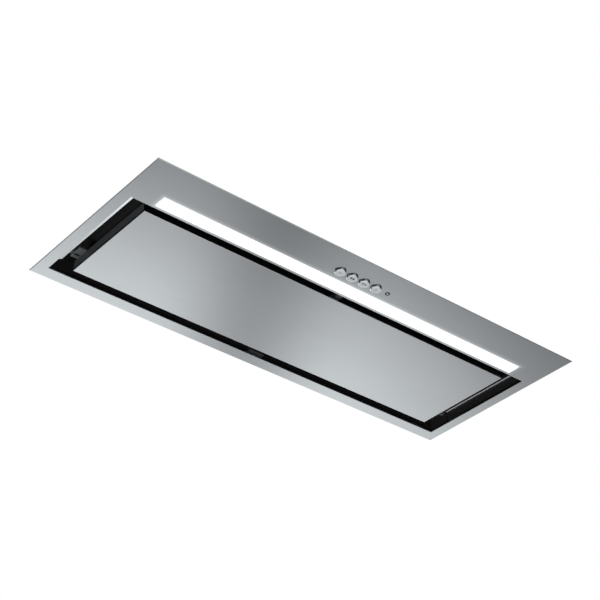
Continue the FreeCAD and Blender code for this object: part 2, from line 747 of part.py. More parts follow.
def make_switch_board():
    """Circuit board on the switch bank."""
    front = BUTTON_Y - BANK_DEPTH / 2 + BANK_BOARD_EDGE
    back = BUTTON_Y + BANK_DEPTH / 2 - BANK_BOARD_EDGE
    return block(BANK_LEFT + BANK_BOARD_EDGE, BANK_RIGHT - BANK_BOARD_EDGE, front, back,
                 BANK_TOP, BANK_TOP + BANK_BOARD_THICK)


# Body

def make_wrap(x, y, bottom, top, sheet):
    """Sheet folded over front, top and back."""
    outer = block(-x, x, -y, y, bottom, top)

    def on_fold(point):
        return abs(abs(point.y) - y) < TINY and abs(point.z - top) < TINY

    outer = outer.makeFillet(2 * sheet, [edge for edge in edges_where(outer, on_fold) if edge.Length > x])
    hollow = block(-x - CUT, x + CUT, sheet - y, y - sheet, bottom - CUT, top - sheet)
    return outer.cut(hollow)


def make_end(x, y, bottom, top, sheet, foot_x, lip_bottom):
    """End wall on the +X side, nested in a wrap, with three lips turned in and a foot turned out."""
    wall = block(x - sheet, x, -y, y, bottom, top)
    lips = block(x - sheet - LIP_WIDTH, x, -y, y, lip_bottom, top)
    between = block(x - sheet - LIP_WIDTH - CUT, x, sheet - y, y - sheet, lip_bottom - CUT, top - sheet)
    lips = lips.cut(between)
    foot = block(x, foot_x, -y, y, bottom, bottom + sheet)
    return join(wall, lips, foot)


def make_body_wrap():
    """Front, top and back of the body, with two feet turned out, beads, and open under the housing."""
    wrap = make_wrap(BODY_X, BODY_Y, SHEET_TOP, BODY_TOP, BODY_SHEET)
    foot_top = SHEET_TOP + BODY_SHEET
    feet = [block(-BODY_X, BODY_X, -FOOT_Y, -BODY_Y, SHEET_TOP, foot_top),
            block(-BODY_X, BODY_X, BODY_Y, FOOT_Y, SHEET_TOP, foot_top)]
    inlet_x = HOUSING_X - LIP_WIDTH - HOUSING_INLET_EDGE
    inlet_y = HOUSING_Y - HOUSING_INLET_EDGE
    inlet = block(-inlet_x, inlet_x, -inlet_y, inlet_y, BODY_TOP - BODY_SHEET - CUT, BODY_TOP + CUT)
    height = SHEET_TOP + BEAD_LOW_SET
    reach = WALL_X - LIP_WIDTH - BEAD_END_SET
    beads = [bead((-reach, side * BODY_Y, height), (reach, side * BODY_Y, height), BACK * side)
             for side in (-1, 1)]
    bead_x = (HOUSING_X + BODY_X) / 2
    bead_y = BODY_Y - 2 * BEAD_END_SET
    beads.append(bead((bead_x, -bead_y, BODY_TOP), (bead_x, bead_y, BODY_TOP), UP))
    return join(wrap, *feet, *beads).cut([inlet] + stud_holes())


def make_body_end():
    """Right end wall of the body."""
    lip_bottom = FLANGE_TOP + LIP_CLEAR
    end = make_end(BODY_X, WALL_Y, SHEET_TOP, BODY_TOP - BODY_SHEET, BODY_SHEET, FOOT_X, lip_bottom)
    return end.cut(stud_holes())


def make_side_rail():
    """Stiffening rail along the inside of the right end wall, with bevelled edges."""
    inner = WALL_X - RAIL_THICK
    bottom = FACE + RAIL_RISE
    rail = block(inner, WALL_X, OPEN_FRONT, bracket_front() - BRACKET_EDGE, bottom, bottom + RAIL_HEIGHT)
    bevels = [edge for edge in edges_where(rail, lambda point: abs(point.x - inner) < TINY)
              if edge.BoundBox.YLength > RAIL_HEIGHT]
    return rail.makeChamfer(RAIL_CHAMFER, bevels)


def make_bay_divider():
    """Wall between the electrics bay and the air chamber, with a lip under the filter tray."""
    wall = block(-WALL_X, WALL_X, DIVIDER_FRONT, DIVIDER_BACK, SHEET_TOP, FILTER_TOP)
    clear = WALL_X - TRAY_SHEET - NEST_GAP
    lip = block(-clear, clear, DIVIDER_BACK, DIVIDER_BACK + TRAY_EDGE, FILTER_TOP - BODY_SHEET, FILTER_TOP)
    return join(wall, lip)


def filter_centres():
    """Middle of each filter along X."""
    return {"left": -FILTER_PITCH / 2, "right": FILTER_PITCH / 2}


def make_filter_tray():
    """Sheet across the air chamber with a rimmed opening and ledges for each filter."""
    sheet = block(-WALL_X, WALL_X, DIVIDER_FRONT, WALL_Y, FILTER_TOP, TRAY_TOP)
    edge_bottom = TRAY_TOP - TRAY_EDGE
    pieces = []
    for side in (-1, 1):
        near, far = sorted((side * (WALL_X - TRAY_SHEET), side * WALL_X))
        pieces.append(block(near, far, DIVIDER_BACK, WALL_Y - BODY_SHEET - NEST_GAP, edge_bottom, FILTER_TOP))
    rim_x = FILTER_WIDTH / 2 + FILTER_PLAY
    rim_front = FILTER_FRONT - TONGUE_REACH - FILTER_PLAY
    rim_back = FILTER_BACK + FILTER_PLAY
    rim_bottom = FILTER_BOTTOM - TRAY_SHEET
    openings = []
    for centre in filter_centres().values():
        pieces.append(moved(ring(rim_x, rim_front, rim_back, rim_bottom, FILTER_TOP, TRAY_SHEET), x=centre))
        left, right = centre - rim_x, centre + rim_x
        openings.append(block(left, right, rim_front, rim_back, FILTER_TOP - CUT, TRAY_TOP + CUT))
        pieces.append(block(left, right, rim_back - LEDGE_WIDTH, rim_back, rim_bottom, FILTER_BOTTOM))
        ledge_back = rim_front + FILTER_PLAY + TONGUE_HOLD
        pieces.append(block(centre - TONGUE_WIDTH / 2, centre + TONGUE_WIDTH / 2, rim_front, ledge_back,
                            TONGUE_BOTTOM - TRAY_SHEET, TONGUE_BOTTOM))
    corner_x = WALL_X - LIP_WIDTH - NEST_GAP
    corner_y = WALL_Y - BODY_SHEET - NEST_GAP
    for side in (-1, 1):
        near, far = sorted((side * corner_x, side * (WALL_X + CUT)))
        openings.append(block(near, far, corner_y, WALL_Y + CUT, edge_bottom - CUT, TRAY_TOP + CUT))
    return join(sheet.cut(openings), *pieces)


# Filters

def make_filter_frame(centre):
    """Aluminium frame with a skin over its latch bar and a pocket for the latch."""
    x0, x1 = centre - FILTER_WIDTH / 2, centre + FILTER_WIDTH / 2
    frame = block(x0, x1, FILTER_FRONT, FILTER_BACK, FILTER_BOTTOM, FILTER_TOP)
    frame = frame.makeFillet(FILTER_CORNER, upright_edges(frame))
    window = block(x0 + FILTER_BAR, x1 - FILTER_BAR, FILTER_FRONT + FILTER_LATCH_BAR,
                   FILTER_BACK - FILTER_BAR, FILTER_BOTTOM - CUT, FILTER_TOP + CUT)
    pocket_x = LATCH_WIDTH / 2 + LATCH_GAP
    pocket_back = FILTER_FRONT + LATCH_SET + LATCH_BODY + LATCH_TRAVEL + LATCH_GAP
    pocket = block(centre - pocket_x, centre + pocket_x, FILTER_FRONT - CUT, pocket_back,
                   FILTER_BOTTOM - CUT, FILTER_TOP - FILTER_SKIN)
    groove_x = pocket_x + LATCH_RIB
    groove_bottom = TONGUE_BOTTOM - LATCH_GAP
    groove = block(centre - groove_x, centre + groove_x, FILTER_FRONT + LATCH_SET, pocket_back,
                   groove_bottom, groove_bottom + LATCH_RIB_THICK + 2 * LATCH_GAP)
    return frame.cut([window, pocket, groove])


def make_filter_mesh(centre):
    """Expanded aluminium mesh in a filter frame, as a plate with diamond gaps."""
    half = FILTER_WIDTH / 2 - FILTER_BAR - MESH_GAP
    x0, x1 = centre - half, centre + half
    y0, y1 = FILTER_FRONT + FILTER_LATCH_BAR + MESH_GAP, FILTER_BACK - FILTER_BAR - MESH_GAP
    z0 = (FILTER_BOTTOM + FILTER_TOP - MESH_THICK) / 2

    def loop(*corners):
        points = [Vector(x, y, z0) for x, y in corners]
        return Part.makePolygon(points + points[:1])

    edge = loop((x0, y0), (x1, y0), (x1, y1), (x0, y1))
    columns = int((x1 - x0 - MESH_STRAND) / MESH_LONG_PITCH)
    rows = int((y1 - y0 - MESH_STRAND) / MESH_SHORT_PITCH)
    half_x = (MESH_LONG_PITCH - MESH_STRAND) / 2
    half_y = (MESH_SHORT_PITCH - MESH_STRAND) / 2
    gaps = []
    for row in range(rows):
        for column in range(columns):
            x = (x0 + x1) / 2 + MESH_LONG_PITCH * (column - (columns - 1) / 2)
            y = (y0 + y1) / 2 + MESH_SHORT_PITCH * (row - (rows - 1) / 2)
            gaps.append(loop((x - half_x, y), (x, y - half_y), (x + half_x, y), (x, y + half_y)))
    return Part.makeFace([edge] + gaps, "Part::FaceMakerBullseye").extrude(UP * MESH_THICK)


def make_filter_latch(centre):
    """Sliding latch with guide ribs, a tongue on the tray's ledge and a finger grip."""
    front = FILTER_FRONT + LATCH_SET
    top = FILTER_TOP - FILTER_SKIN - LATCH_GAP
    half = LATCH_WIDTH / 2
    body = block(centre - half, centre + half, front, front + LATCH_BODY, FILTER_BOTTOM, top)
    ribs = block(centre - half - LATCH_RIB, centre + half + LATCH_RIB, front + LATCH_GAP, front + LATCH_BODY,
                 TONGUE_BOTTOM, TONGUE_BOTTOM + LATCH_RIB_THICK)
    tongue = block(centre - TONGUE_WIDTH / 2, centre + TONGUE_WIDTH / 2, FILTER_FRONT - TONGUE_REACH, front,
                   TONGUE_BOTTOM, TONGUE_BOTTOM + TONGUE_THICK)
    grip = block(centre - TONGUE_WIDTH / 2, centre + TONGUE_WIDTH / 2, front + LATCH_BODY / 4,
                 front + LATCH_BODY * 3 / 4, FILTER_BOTTOM - CUT, FILTER_BOTTOM + LATCH_GRIP_DEPTH)
    return join(body, ribs, tongue).cut(grip)


# Suction panel, hinge, catch and stop

def make_panel_skin():
    """Stainless tray with rounded lower edges, whose sides are low hems along the liner's walls."""
    skin = block(-PANEL_X, PANEL_X, PANEL_FRONT, PANEL_BACK, PANEL_FACE, PANEL_TOP)
    lower = edges_where(skin, lambda point: abs(point.z - PANEL_FACE) < TINY)
    skin = skin.makeFillet(PANEL_ROUND, lower)
    hollow = block(PANEL_SHEET - PANEL_X, PANEL_X - PANEL_SHEET, PANEL_FRONT + PANEL_SHEET,
                   PANEL_BACK - PANEL_SHEET, PANEL_FACE + PANEL_SHEET, PANEL_TOP + CUT)
    over_hems = block(-PANEL_X - CUT, PANEL_X + CUT, PANEL_FRONT + PANEL_SHEET, PANEL_BACK - PANEL_SHEET,
                      PANEL_FACE + PANEL_SIDE_HEM, PANEL_TOP + CUT)
    return skin.cut([hollow, over_hems])


def make_panel_liner():
    """Black inner lid that stands in the skin and stiffens it."""
    inset = PANEL_SHEET + LINER_GAP
    outer = block(inset - PANEL_X, PANEL_X - inset, PANEL_FRONT + inset, PANEL_BACK - inset,
                  PANEL_FACE + PANEL_SHEET, PANEL_TOP)
    wall = inset + LINER_SHEET
    hollow = block(wall - PANEL_X, PANEL_X - wall, PANEL_FRONT + wall, PANEL_BACK - wall,
                   PANEL_FACE, PANEL_TOP - LINER_SHEET)
    return outer.cut(hollow)


def make_hinge_arm():
    """Right arm on the panel: a slotted foot on the liner and a lug with the pin's eye."""
    back = HINGE_Y + ARM_EDGE
    front = back - ARM_DEPTH
    top = HINGE_Z + ARM_EDGE
    foot = block(LUG_X - ARM_LENGTH, LUG_X, front, back, PANEL_TOP, PANEL_TOP + HINGE_STEEL)
    lug = block(LUG_X - HINGE_STEEL, LUG_X, HINGE_Y - ARM_EDGE, back, PANEL_TOP, top)
    corners = [edge for edge in edges_where(lug, lambda point: abs(point.z - top) < TINY)
               if edge.Length < HINGE_STEEL + TINY]
    lug = lug.makeFillet(ARM_EDGE * 0.8, corners)
    eye = rod(HINGE_PIN_RADIUS + RUNNING_FIT, (LUG_X - HINGE_STEEL - CUT, HINGE_Y, HINGE_Z), RIGHT,
              HINGE_STEEL + 2 * CUT)
    slot = block(PANEL_X, LUG_X - HINGE_STEEL, HINGE_Y - ARM_SLOT, HINGE_Y, PANEL_TOP - CUT,
                 PANEL_TOP + HINGE_STEEL + CUT)
    return join(foot, lug).cut([eye, slot])


def make_hinge_bracket():
    """Right bracket on the body's end wall."""
    return block(WALL_X - HINGE_STEEL, WALL_X, bracket_front(), bracket_back(), bracket_bottom(),
                 bracket_bottom() + BRACKET_HEIGHT)


def make_hinge_pin():
    """Right stepped pin from the bracket through the arm's eye."""
    root = WALL_X - HINGE_STEEL
    shoulder_end = LUG_X + HINGE_SHOULDER
    shoulder = rod(HINGE_PIN_RADIUS + HINGE_SHOULDER, (root, HINGE_Y, HINGE_Z), LEFT, root - shoulder_end)
    journal = rod(HINGE_PIN_RADIUS, (shoulder_end, HINGE_Y, HINGE_Z), LEFT,
                  HINGE_SHOULDER + HINGE_STEEL + HINGE_PIN_TAIL)
    return join(shoulder, journal)


def catch_box(shrink):
    """Space of the catch, or of the magnet in it where the sides shrink."""
    half = CATCH_WIDTH / 2 - shrink
    bottom = FLANGE_TOP + CATCH_RISE - CATCH_HEIGHT / 2 + shrink
    return -half, half, bottom, bottom + CATCH_HEIGHT - 2 * shrink


def make_catch_holder():
    """Moulded magnet holder on the bay divider, over the plate's front flange."""
    x0, x1, z0, z1 = catch_box(0.0)
    holder = block(x0, x1, DIVIDER_BACK, PANEL_FRONT - CATCH_GAP, z0, z1)
    return holder.cut(magnet_space())


def magnet_space():
    """Place of the magnet in its holder."""
    x0, x1, z0, z1 = catch_box(MAGNET_RIM)
    back = PANEL_FRONT - CATCH_GAP
    return block(x0, x1, back - MAGNET_DEPTH, back, z0, z1)


def make_stop_buffer():
    """Rubber stop on the body's back wall, which the opened panel rests against."""
    front = HINGE_Y + HINGE_RISE + STOP_GAP
    bottom = FLANGE_TOP + STOP_RISE - STOP_HEIGHT / 2
    return block(-STOP_WIDTH / 2, STOP_WIDTH / 2, front, WALL_Y, bottom, bottom + STOP_HEIGHT)


def make_clip(place):
    """Spring clip on the right end: flat root, bulge and a toe that catches the cabinet's edge."""
    path = [(BODY_X, CLIP_TOP), (BODY_X, CLIP_ROOT), (BODY_X + CLIP_BULGE, CLIP_KNEE),
            (BODY_X + CLIP_TOE_GAP, CLIP_TOE)]
    y0 = place - CLIP_WIDTH / 2
    outline = [(u, y0, w) for u, w in strip(path, CLIP_STEEL)]
    clip = prism(outline, BACK * CLIP_WIDTH)

    def at_knee(point):
        return abs(point.z - CLIP_KNEE) < 2 * CLIP_STEEL

    return clip.makeFillet(CLIP_STEEL * 0.6, [edge for edge in edges_where(clip, at_knee)
                                              if edge.Length > CLIP_WIDTH - TINY])


# Blower

def make_housing_wrap():
    """Front, top and back of the blower housing, with beads, and the outlet in its top."""
    wrap = make_wrap(HOUSING_X, HOUSING_Y, BODY_TOP, HOUSING_TOP, HOUSING_SHEET)
    outlet = block(SCROLL_WALL - SCROLL_X, SCROLL_X - SCROLL_WALL, OUTLET_FRONT + SCROLL_WALL,
                   OUTLET_BACK - SCROLL_WALL, SCROLL_TOP - CUT, HOUSING_TOP + CUT)
    beads = []
    for x in spread(HOUSING_X - LIP_WIDTH - BEAD_END_SET, HOUSING_BEAD_COUNT):
        for side in (-1, 1):
            beads.append(bead((x, side * HOUSING_Y, BODY_TOP + BEAD_END_SET),
                              (x, side * HOUSING_Y, HOUSING_TOP - BEAD_END_SET), BACK * side))
    return join(wrap.cut(outlet), *beads)


def make_housing_end():
    """Right end of the blower housing, with two beads and a foot on the body's top."""
    end = make_end(HOUSING_X, HOUSING_Y - HOUSING_SHEET, BODY_TOP, SCROLL_TOP, HOUSING_SHEET,
                   HOUSING_X + HOUSING_FOOT, BODY_TOP + LIP_WIDTH)
    beads = [bead((HOUSING_X, share * HOUSING_Y, BODY_TOP + BEAD_LOW_SET),
                  (HOUSING_X, share * HOUSING_Y, HOUSING_TOP - BEAD_END_SET), RIGHT)
             for share in (-0.5, 0.5)]
    return join(end, *beads)


def fan_point(radius, degrees, x=0.0):
    """Point round the shaft."""
    turn = math.radians(degrees)
    return Vector(x, FAN_Y + radius * math.cos(turn), FAN_Z + radius * math.sin(turn))


def scroll_face(inset, top, x):
    """Scroll outline: arcs that widen round the shaft, then a straight outlet to the top."""
    start_radius = SCROLL_START - inset
    start = math.degrees(math.acos((SCROLL_TONGUE + inset) / start_radius))
    growth = (SCROLL_END - SCROLL_START) / (360 - start)
    step = (360 - start) / SCROLL_ARCS

    def on_spiral(turned):
        return fan_point(start_radius + growth * turned, start + turned, x)

    edges = [Part.Arc(on_spiral(step * i), on_spiral(step * (i + 0.5)), on_spiral(step * (i + 1))).toShape()
             for i in range(SCROLL_ARCS)]
    last = on_spiral(step * SCROLL_ARCS)
    first = on_spiral(0)
    for begin, end in ((last, Vector(x, last.y, top)), (Vector(x, last.y, top), Vector(x, first.y, top)),
                       (Vector(x, first.y, top), first)):
        edges.append(Part.makeLine(begin, end))
    return Part.Face(Part.Wire(Part.__sortEdges__(edges)))


def make_scroll_half():
    """Right half of the scroll: side plate with an inlet, spiral wall and outlet lip."""
    shell = scroll_face(0.0, SCROLL_TOP, 0.0).extrude(RIGHT * SCROLL_X)
    lip = block(0, SCROLL_X + SCROLL_LIP, OUTLET_FRONT, OUTLET_BACK, SCROLL_TOP - SCROLL_WALL, SCROLL_TOP)
    cavity = scroll_face(SCROLL_WALL, SCROLL_TOP + CUT, -CUT).extrude(RIGHT * (SCROLL_X - SCROLL_WALL + CUT))
    inlet = rod(INLET_RADIUS, (0, FAN_Y, FAN_Z), RIGHT, SCROLL_X + CUT)
    return join(shell, lip).cut([cavity, inlet])


def make_impeller():
    """Double-inlet wheel: middle disc with a hub, forward-curved blades and two end rings."""
    half = WHEEL_WIDTH / 2

    def blade_edge(turn):
        return (fan_point(WHEEL_INNER, turn, -half),
                fan_point((WHEEL_INNER + WHEEL_RADIUS) / 2, turn + BLADE_LEAN / 2 - BLADE_BOW, -half),
                fan_point(WHEEL_RADIUS - WHEEL_RING / 2, turn + BLADE_LEAN, -half))

    spread = math.degrees(BLADE_THICK / WHEEL_INNER)
    blades = []
    for index in range(BLADE_COUNT):
        turn = 360 * index / BLADE_COUNT
        near, far = blade_edge(turn), blade_edge(turn + spread)
        edges = [Part.Arc(*near).toShape(), Part.makeLine(near[2], far[2]), Part.Arc(*far[::-1]).toShape(),
                 Part.makeLine(far[0], near[0])]
        blades.append(Part.Face(Part.Wire(edges)).extrude(RIGHT * WHEEL_WIDTH))
    disc = rod(WHEEL_RADIUS, (-WHEEL_DISC / 2, FAN_Y, FAN_Z), RIGHT, WHEEL_DISC)
    hub = rod(HUB_RADIUS, (-WHEEL_DISC / 2, FAN_Y, FAN_Z), RIGHT, HUB_LENGTH)
    rings = []
    for x in (-half, half - WHEEL_RING):
        outer = rod(WHEEL_RADIUS, (x, FAN_Y, FAN_Z), RIGHT, WHEEL_RING)
        rings.append(outer.cut(rod(WHEEL_INNER, (x, FAN_Y, FAN_Z), RIGHT, WHEEL_RING)))
    wheel = join(disc, hub, *rings, *blades)
    return wheel.cut(rod(SHAFT_RADIUS + RUNNING_FIT / 2, (-half, FAN_Y, FAN_Z), RIGHT, WHEEL_WIDTH))


def make_motor_shaft():
    """Steel shaft from the motor through the hub."""
    start = -SCROLL_X + MOTOR_END
    return rod(SHAFT_RADIUS, (start, FAN_Y, FAN_Z), RIGHT, HUB_LENGTH + SHAFT_TAIL - start)


def make_motor():
    """Motor can inside the wheel's left half, bored for the shaft."""
    length = SCROLL_X - MOTOR_END
    can = rod(MOTOR_RADIUS, (-SCROLL_X, FAN_Y, FAN_Z), RIGHT, length)
    can = can.makeFillet(MOTOR_ROUND, [edge for edge in can.Edges if len(edge.Vertexes) == 1])
    bore = rod(SHAFT_RADIUS + RUNNING_FIT, (-SCROLL_X + MOTOR_END - RUNNING_FIT, FAN_Y, FAN_Z), RIGHT, length)
    return can.cut(bore)


def make_motor_spider():
    """Three-armed bracket that carries the motor on the scroll's left side plate."""
    start = (-SCROLL_X, FAN_Y, FAN_Z)
    rim = rod(INLET_RADIUS + SPIDER_RING, start, LEFT, SPIDER_THICK)
    rim = rim.cut(rod(INLET_RADIUS, start, LEFT, SPIDER_THICK))
    hub = rod(SPIDER_HUB, start, LEFT, SPIDER_THICK)
    arms = []
    for index in range(SPIDER_ARMS):
        arm = block(-SCROLL_X - SPIDER_THICK, -SCROLL_X, FAN_Y, FAN_Y + INLET_RADIUS + SPIDER_RING / 2,
                    FAN_Z - SPIDER_ARM / 2, FAN_Z + SPIDER_ARM / 2)
        arm.rotate(Vector(0, FAN_Y, FAN_Z), RIGHT, 90 + 360 * index / SPIDER_ARMS)
        arms.append(arm)
    return join(rim, hub, *arms)


# Outlet

def make_outlet_collar():
    """Moulded spigot with a round flange, a ledge under the flaps and holes for their pins."""
    base = (0, COLLAR_Y, HOUSING_TOP)
    spigot = rod(COLLAR_RADIUS, base, UP, COLLAR_HEIGHT)
    top = HOUSING_TOP + COLLAR_HEIGHT
    spigot = spigot.makeChamfer(COLLAR_CHAMFER, [edge for edge in spigot.Edges
                                                 if abs(edge.BoundBox.ZMin - top) < TINY])
    flange = rod(COLLAR_RADIUS + COLLAR_FLANGE, base, UP, COLLAR_FLANGE_THICK)
    collar = join(spigot, flange).cut(rod(COLLAR_BORE, base, UP, COLLAR_HEIGHT))
    ledge_top = FLAP_Z - FLAP_THICK / 2
    ledge_bottom = ledge_top - FLAP_LEDGE_THICK
    ledge = rod(COLLAR_BORE + COLLAR_WALL / 2, (0, COLLAR_Y, ledge_bottom), UP, FLAP_LEDGE_THICK)
    ledge = ledge.cut(rod(COLLAR_BORE - FLAP_LEDGE, (0, COLLAR_Y, ledge_bottom), UP, FLAP_LEDGE_THICK))
    clear = FLAP_PIN_OFFSET + FLAP_PIN_RADIUS + FLAP_EYE_WALL + FLAP_GAP
    ledge = ledge.cut(block(-COLLAR_BORE, COLLAR_BORE, COLLAR_Y - clear, COLLAR_Y + clear, ledge_bottom - CUT,
                            ledge_top + CUT))
    holes = [flap_pin(side, RUNNING_FIT, COLLAR_RADIUS) for side in (-1, 1)]
    return join(collar, *ledge.Solids).cut(holes)


def flap_pin(side, gap, reach):
    """Pin of one flap across the collar, or its hole where there is a gap."""
    return rod(FLAP_PIN_RADIUS + gap, (-reach, COLLAR_Y + side * FLAP_PIN_OFFSET, FLAP_Z), RIGHT, 2 * reach)


def make_flap_pins():
    """Steel pins of the two flaps, held in the collar's wall."""
    reach = COLLAR_RADIUS - COLLAR_WALL / 2
    return Part.makeCompound([flap_pin(side, 0.0, reach) for side in (-1, 1)])


def make_flap(side):
    """Half-moon flap with an eye round its pin."""
    disc = rod(COLLAR_BORE - FLAP_GAP, (0, COLLAR_Y, FLAP_Z - FLAP_THICK / 2), UP, FLAP_THICK)
    pin_y = COLLAR_Y + side * FLAP_PIN_OFFSET
    near, far = sorted((pin_y, COLLAR_Y + side * 2 * COLLAR_RADIUS))
    half = disc.common(block(-COLLAR_RADIUS, COLLAR_RADIUS, near, far, FLAP_Z - CUT, FLAP_Z + CUT))
    reach = COLLAR_BORE - FLAP_EYE_INSET
    eye = rod(FLAP_PIN_RADIUS + FLAP_EYE_WALL, (-reach, pin_y, FLAP_Z), RIGHT, 2 * reach)
    room = FLAP_PIN_RADIUS + FLAP_EYE_WALL
    slot = block(reach, COLLAR_RADIUS, pin_y - room, pin_y + room, FLAP_Z - CUT, FLAP_Z + CUT)
    return join(half.cut([slot, mirrored(slot)]), eye).cut(flap_pin(side, RUNNING_FIT, COLLAR_RADIUS))


# Control box

def make_control_box():
    """Moulded box on the body's top, with ears, lid posts and openings for gland and lead."""
    outer = block(BOX_LEFT, BOX_RIGHT, -BOX_DEPTH / 2, BOX_DEPTH / 2, BODY_TOP, BOX_TOP)
    outer = outer.makeFillet(BOX_ROUND, upright_edges(outer))
    floor = BODY_TOP + BOX_WALL
    inner_y = BOX_DEPTH / 2 - BOX_WALL
    hollow = block(BOX_LEFT + BOX_WALL, BOX_RIGHT - BOX_WALL, -inner_y, inner_y, floor, BOX_TOP + CUT)
    ears = block(BOX_LEFT - BOX_EAR, BOX_RIGHT + BOX_EAR, -BOX_EAR / 2, BOX_EAR / 2, BODY_TOP, floor)
    posts = []
    for x in (BOX_LEFT + box_post(), BOX_RIGHT - box_post()):
        for y in (-BOX_DEPTH / 2 + box_post(), BOX_DEPTH / 2 - box_post()):
            posts.append(rod(SCREW_HEAD, (x, y, floor), UP, BOX_HEIGHT - BOX_WALL))
    gland_hole = rod(GLAND_BODY + RUNNING_FIT, (gland_x(), BOX_DEPTH / 2 - BOX_WALL - CUT, gland_z()), BACK,
                     BOX_WALL + 2 * CUT)
    lead_hole = rod(LEAD_RADIUS + RUNNING_FIT, (BOX_RIGHT - BOX_WALL - CUT, 0, lead_z()), RIGHT,
                    BOX_WALL + 2 * CUT)
    return join(outer, ears).cut(hollow).fuse(posts).removeSplitter().cut([gland_hole, lead_hole])


def make_control_lid():
    """Flat lid of the control box."""
    lid = block(BOX_LEFT, BOX_RIGHT, -BOX_DEPTH / 2, BOX_DEPTH / 2, BOX_TOP, BOX_TOP + BOX_LID)
    return lid.makeFillet(BOX_ROUND, upright_edges(lid))


def gland_x():
    """Cable gland's place along X."""
    return (BOX_LEFT + BOX_RIGHT) / 2


def gland_z():
    """Cable gland's height."""
    return BODY_TOP + GLAND_RISE


def make_cable_gland():
    """Gland with inner nut, hexagon and domed cap, bored for the mains cable."""
    outer_face = BOX_DEPTH / 2
    inner_face = outer_face - BOX_WALL
    thread = rod(GLAND_BODY, (gland_x(), inner_face - GLAND_THREAD, gland_z()), BACK, GLAND_THREAD + BOX_WALL)
    inner_nut = rod(GLAND_NUT, (gland_x(), inner_face - GLAND_THREAD / 2, gland_z()), BACK, GLAND_THREAD / 2)
    turns = [math.radians(60 * i) for i in range(6)]
    corners = [(gland_x() + GLAND_NUT * math.cos(turn), outer_face, gland_z() + GLAND_NUT * math.sin(turn))
               for turn in turns]
    hexagon = prism(corners, BACK * GLAND_NUT_LENGTH)
    cap_start = (gland_x(), outer_face + GLAND_NUT_LENGTH, gland_z())
    cap = Part.makeCone(GLAND_BODY, GLAND_BORE + BOX_WALL, GLAND_CAP_LENGTH, Vector(*cap_start), BACK)
    bore = rod(GLAND_BORE, (gland_x(), inner_face - GLAND_THREAD - CUT, gland_z()), BACK,
               GLAND_THREAD + BOX_WALL + GLAND_NUT_LENGTH + GLAND_CAP_LENGTH + 2 * CUT)
    return join(thread, inner_nut, hexagon, cap).cut(bore)


def main_board_edges():
    """Corners of the main board inside the control box."""
    inset = BOX_WALL + MAIN_BOARD_EDGE + 2 * SCREW_HEAD
    return BOX_LEFT + inset, BOX_RIGHT - inset, BOX_WALL + MAIN_BOARD_EDGE - BOX_DEPTH / 2


def make_main_board():
    """Main circuit board on two standing feet."""
    x0, x1, y0 = main_board_edges()
    floor = BODY_TOP + BOX_WALL
    bottom = floor + MAIN_BOARD_RISE
    board = block(x0, x1, y0, -y0, bottom, bottom + MAIN_BOARD_THICK)
    feet = [block(x, x + MAIN_BOARD_RISE, y0, -y0, floor, bottom) for x in (x0, x1 - MAIN_BOARD_RISE)]
    return join(board, *feet)


def make_capacitor():
    """Run capacitor lying on the main board."""
    x0, x1, y0 = main_board_edges()
    base = BODY_TOP + BOX_WALL + MAIN_BOARD_RISE + MAIN_BOARD_THICK
    start = ((x0 + x1 - CAPACITOR_LENGTH) / 2, y0 + 2 * CAPACITOR_RADIUS, base + CAPACITOR_RADIUS)
    return rod(CAPACITOR_RADIUS, start, RIGHT, CAPACITOR_LENGTH)


def lead_z():
    """Height of the motor lead's two ends."""
    return BODY_TOP + LEAD_RISE


def make_motor_lead():
    """Lead from the control box straight into the housing's left end."""
    start = BOX_RIGHT - 2 * BOX_WALL
    length = -HOUSING_X + 2 * BOX_WALL - start
    return rod(LEAD_RADIUS, (start, 0, lead_z()), RIGHT, length)


# Assembly

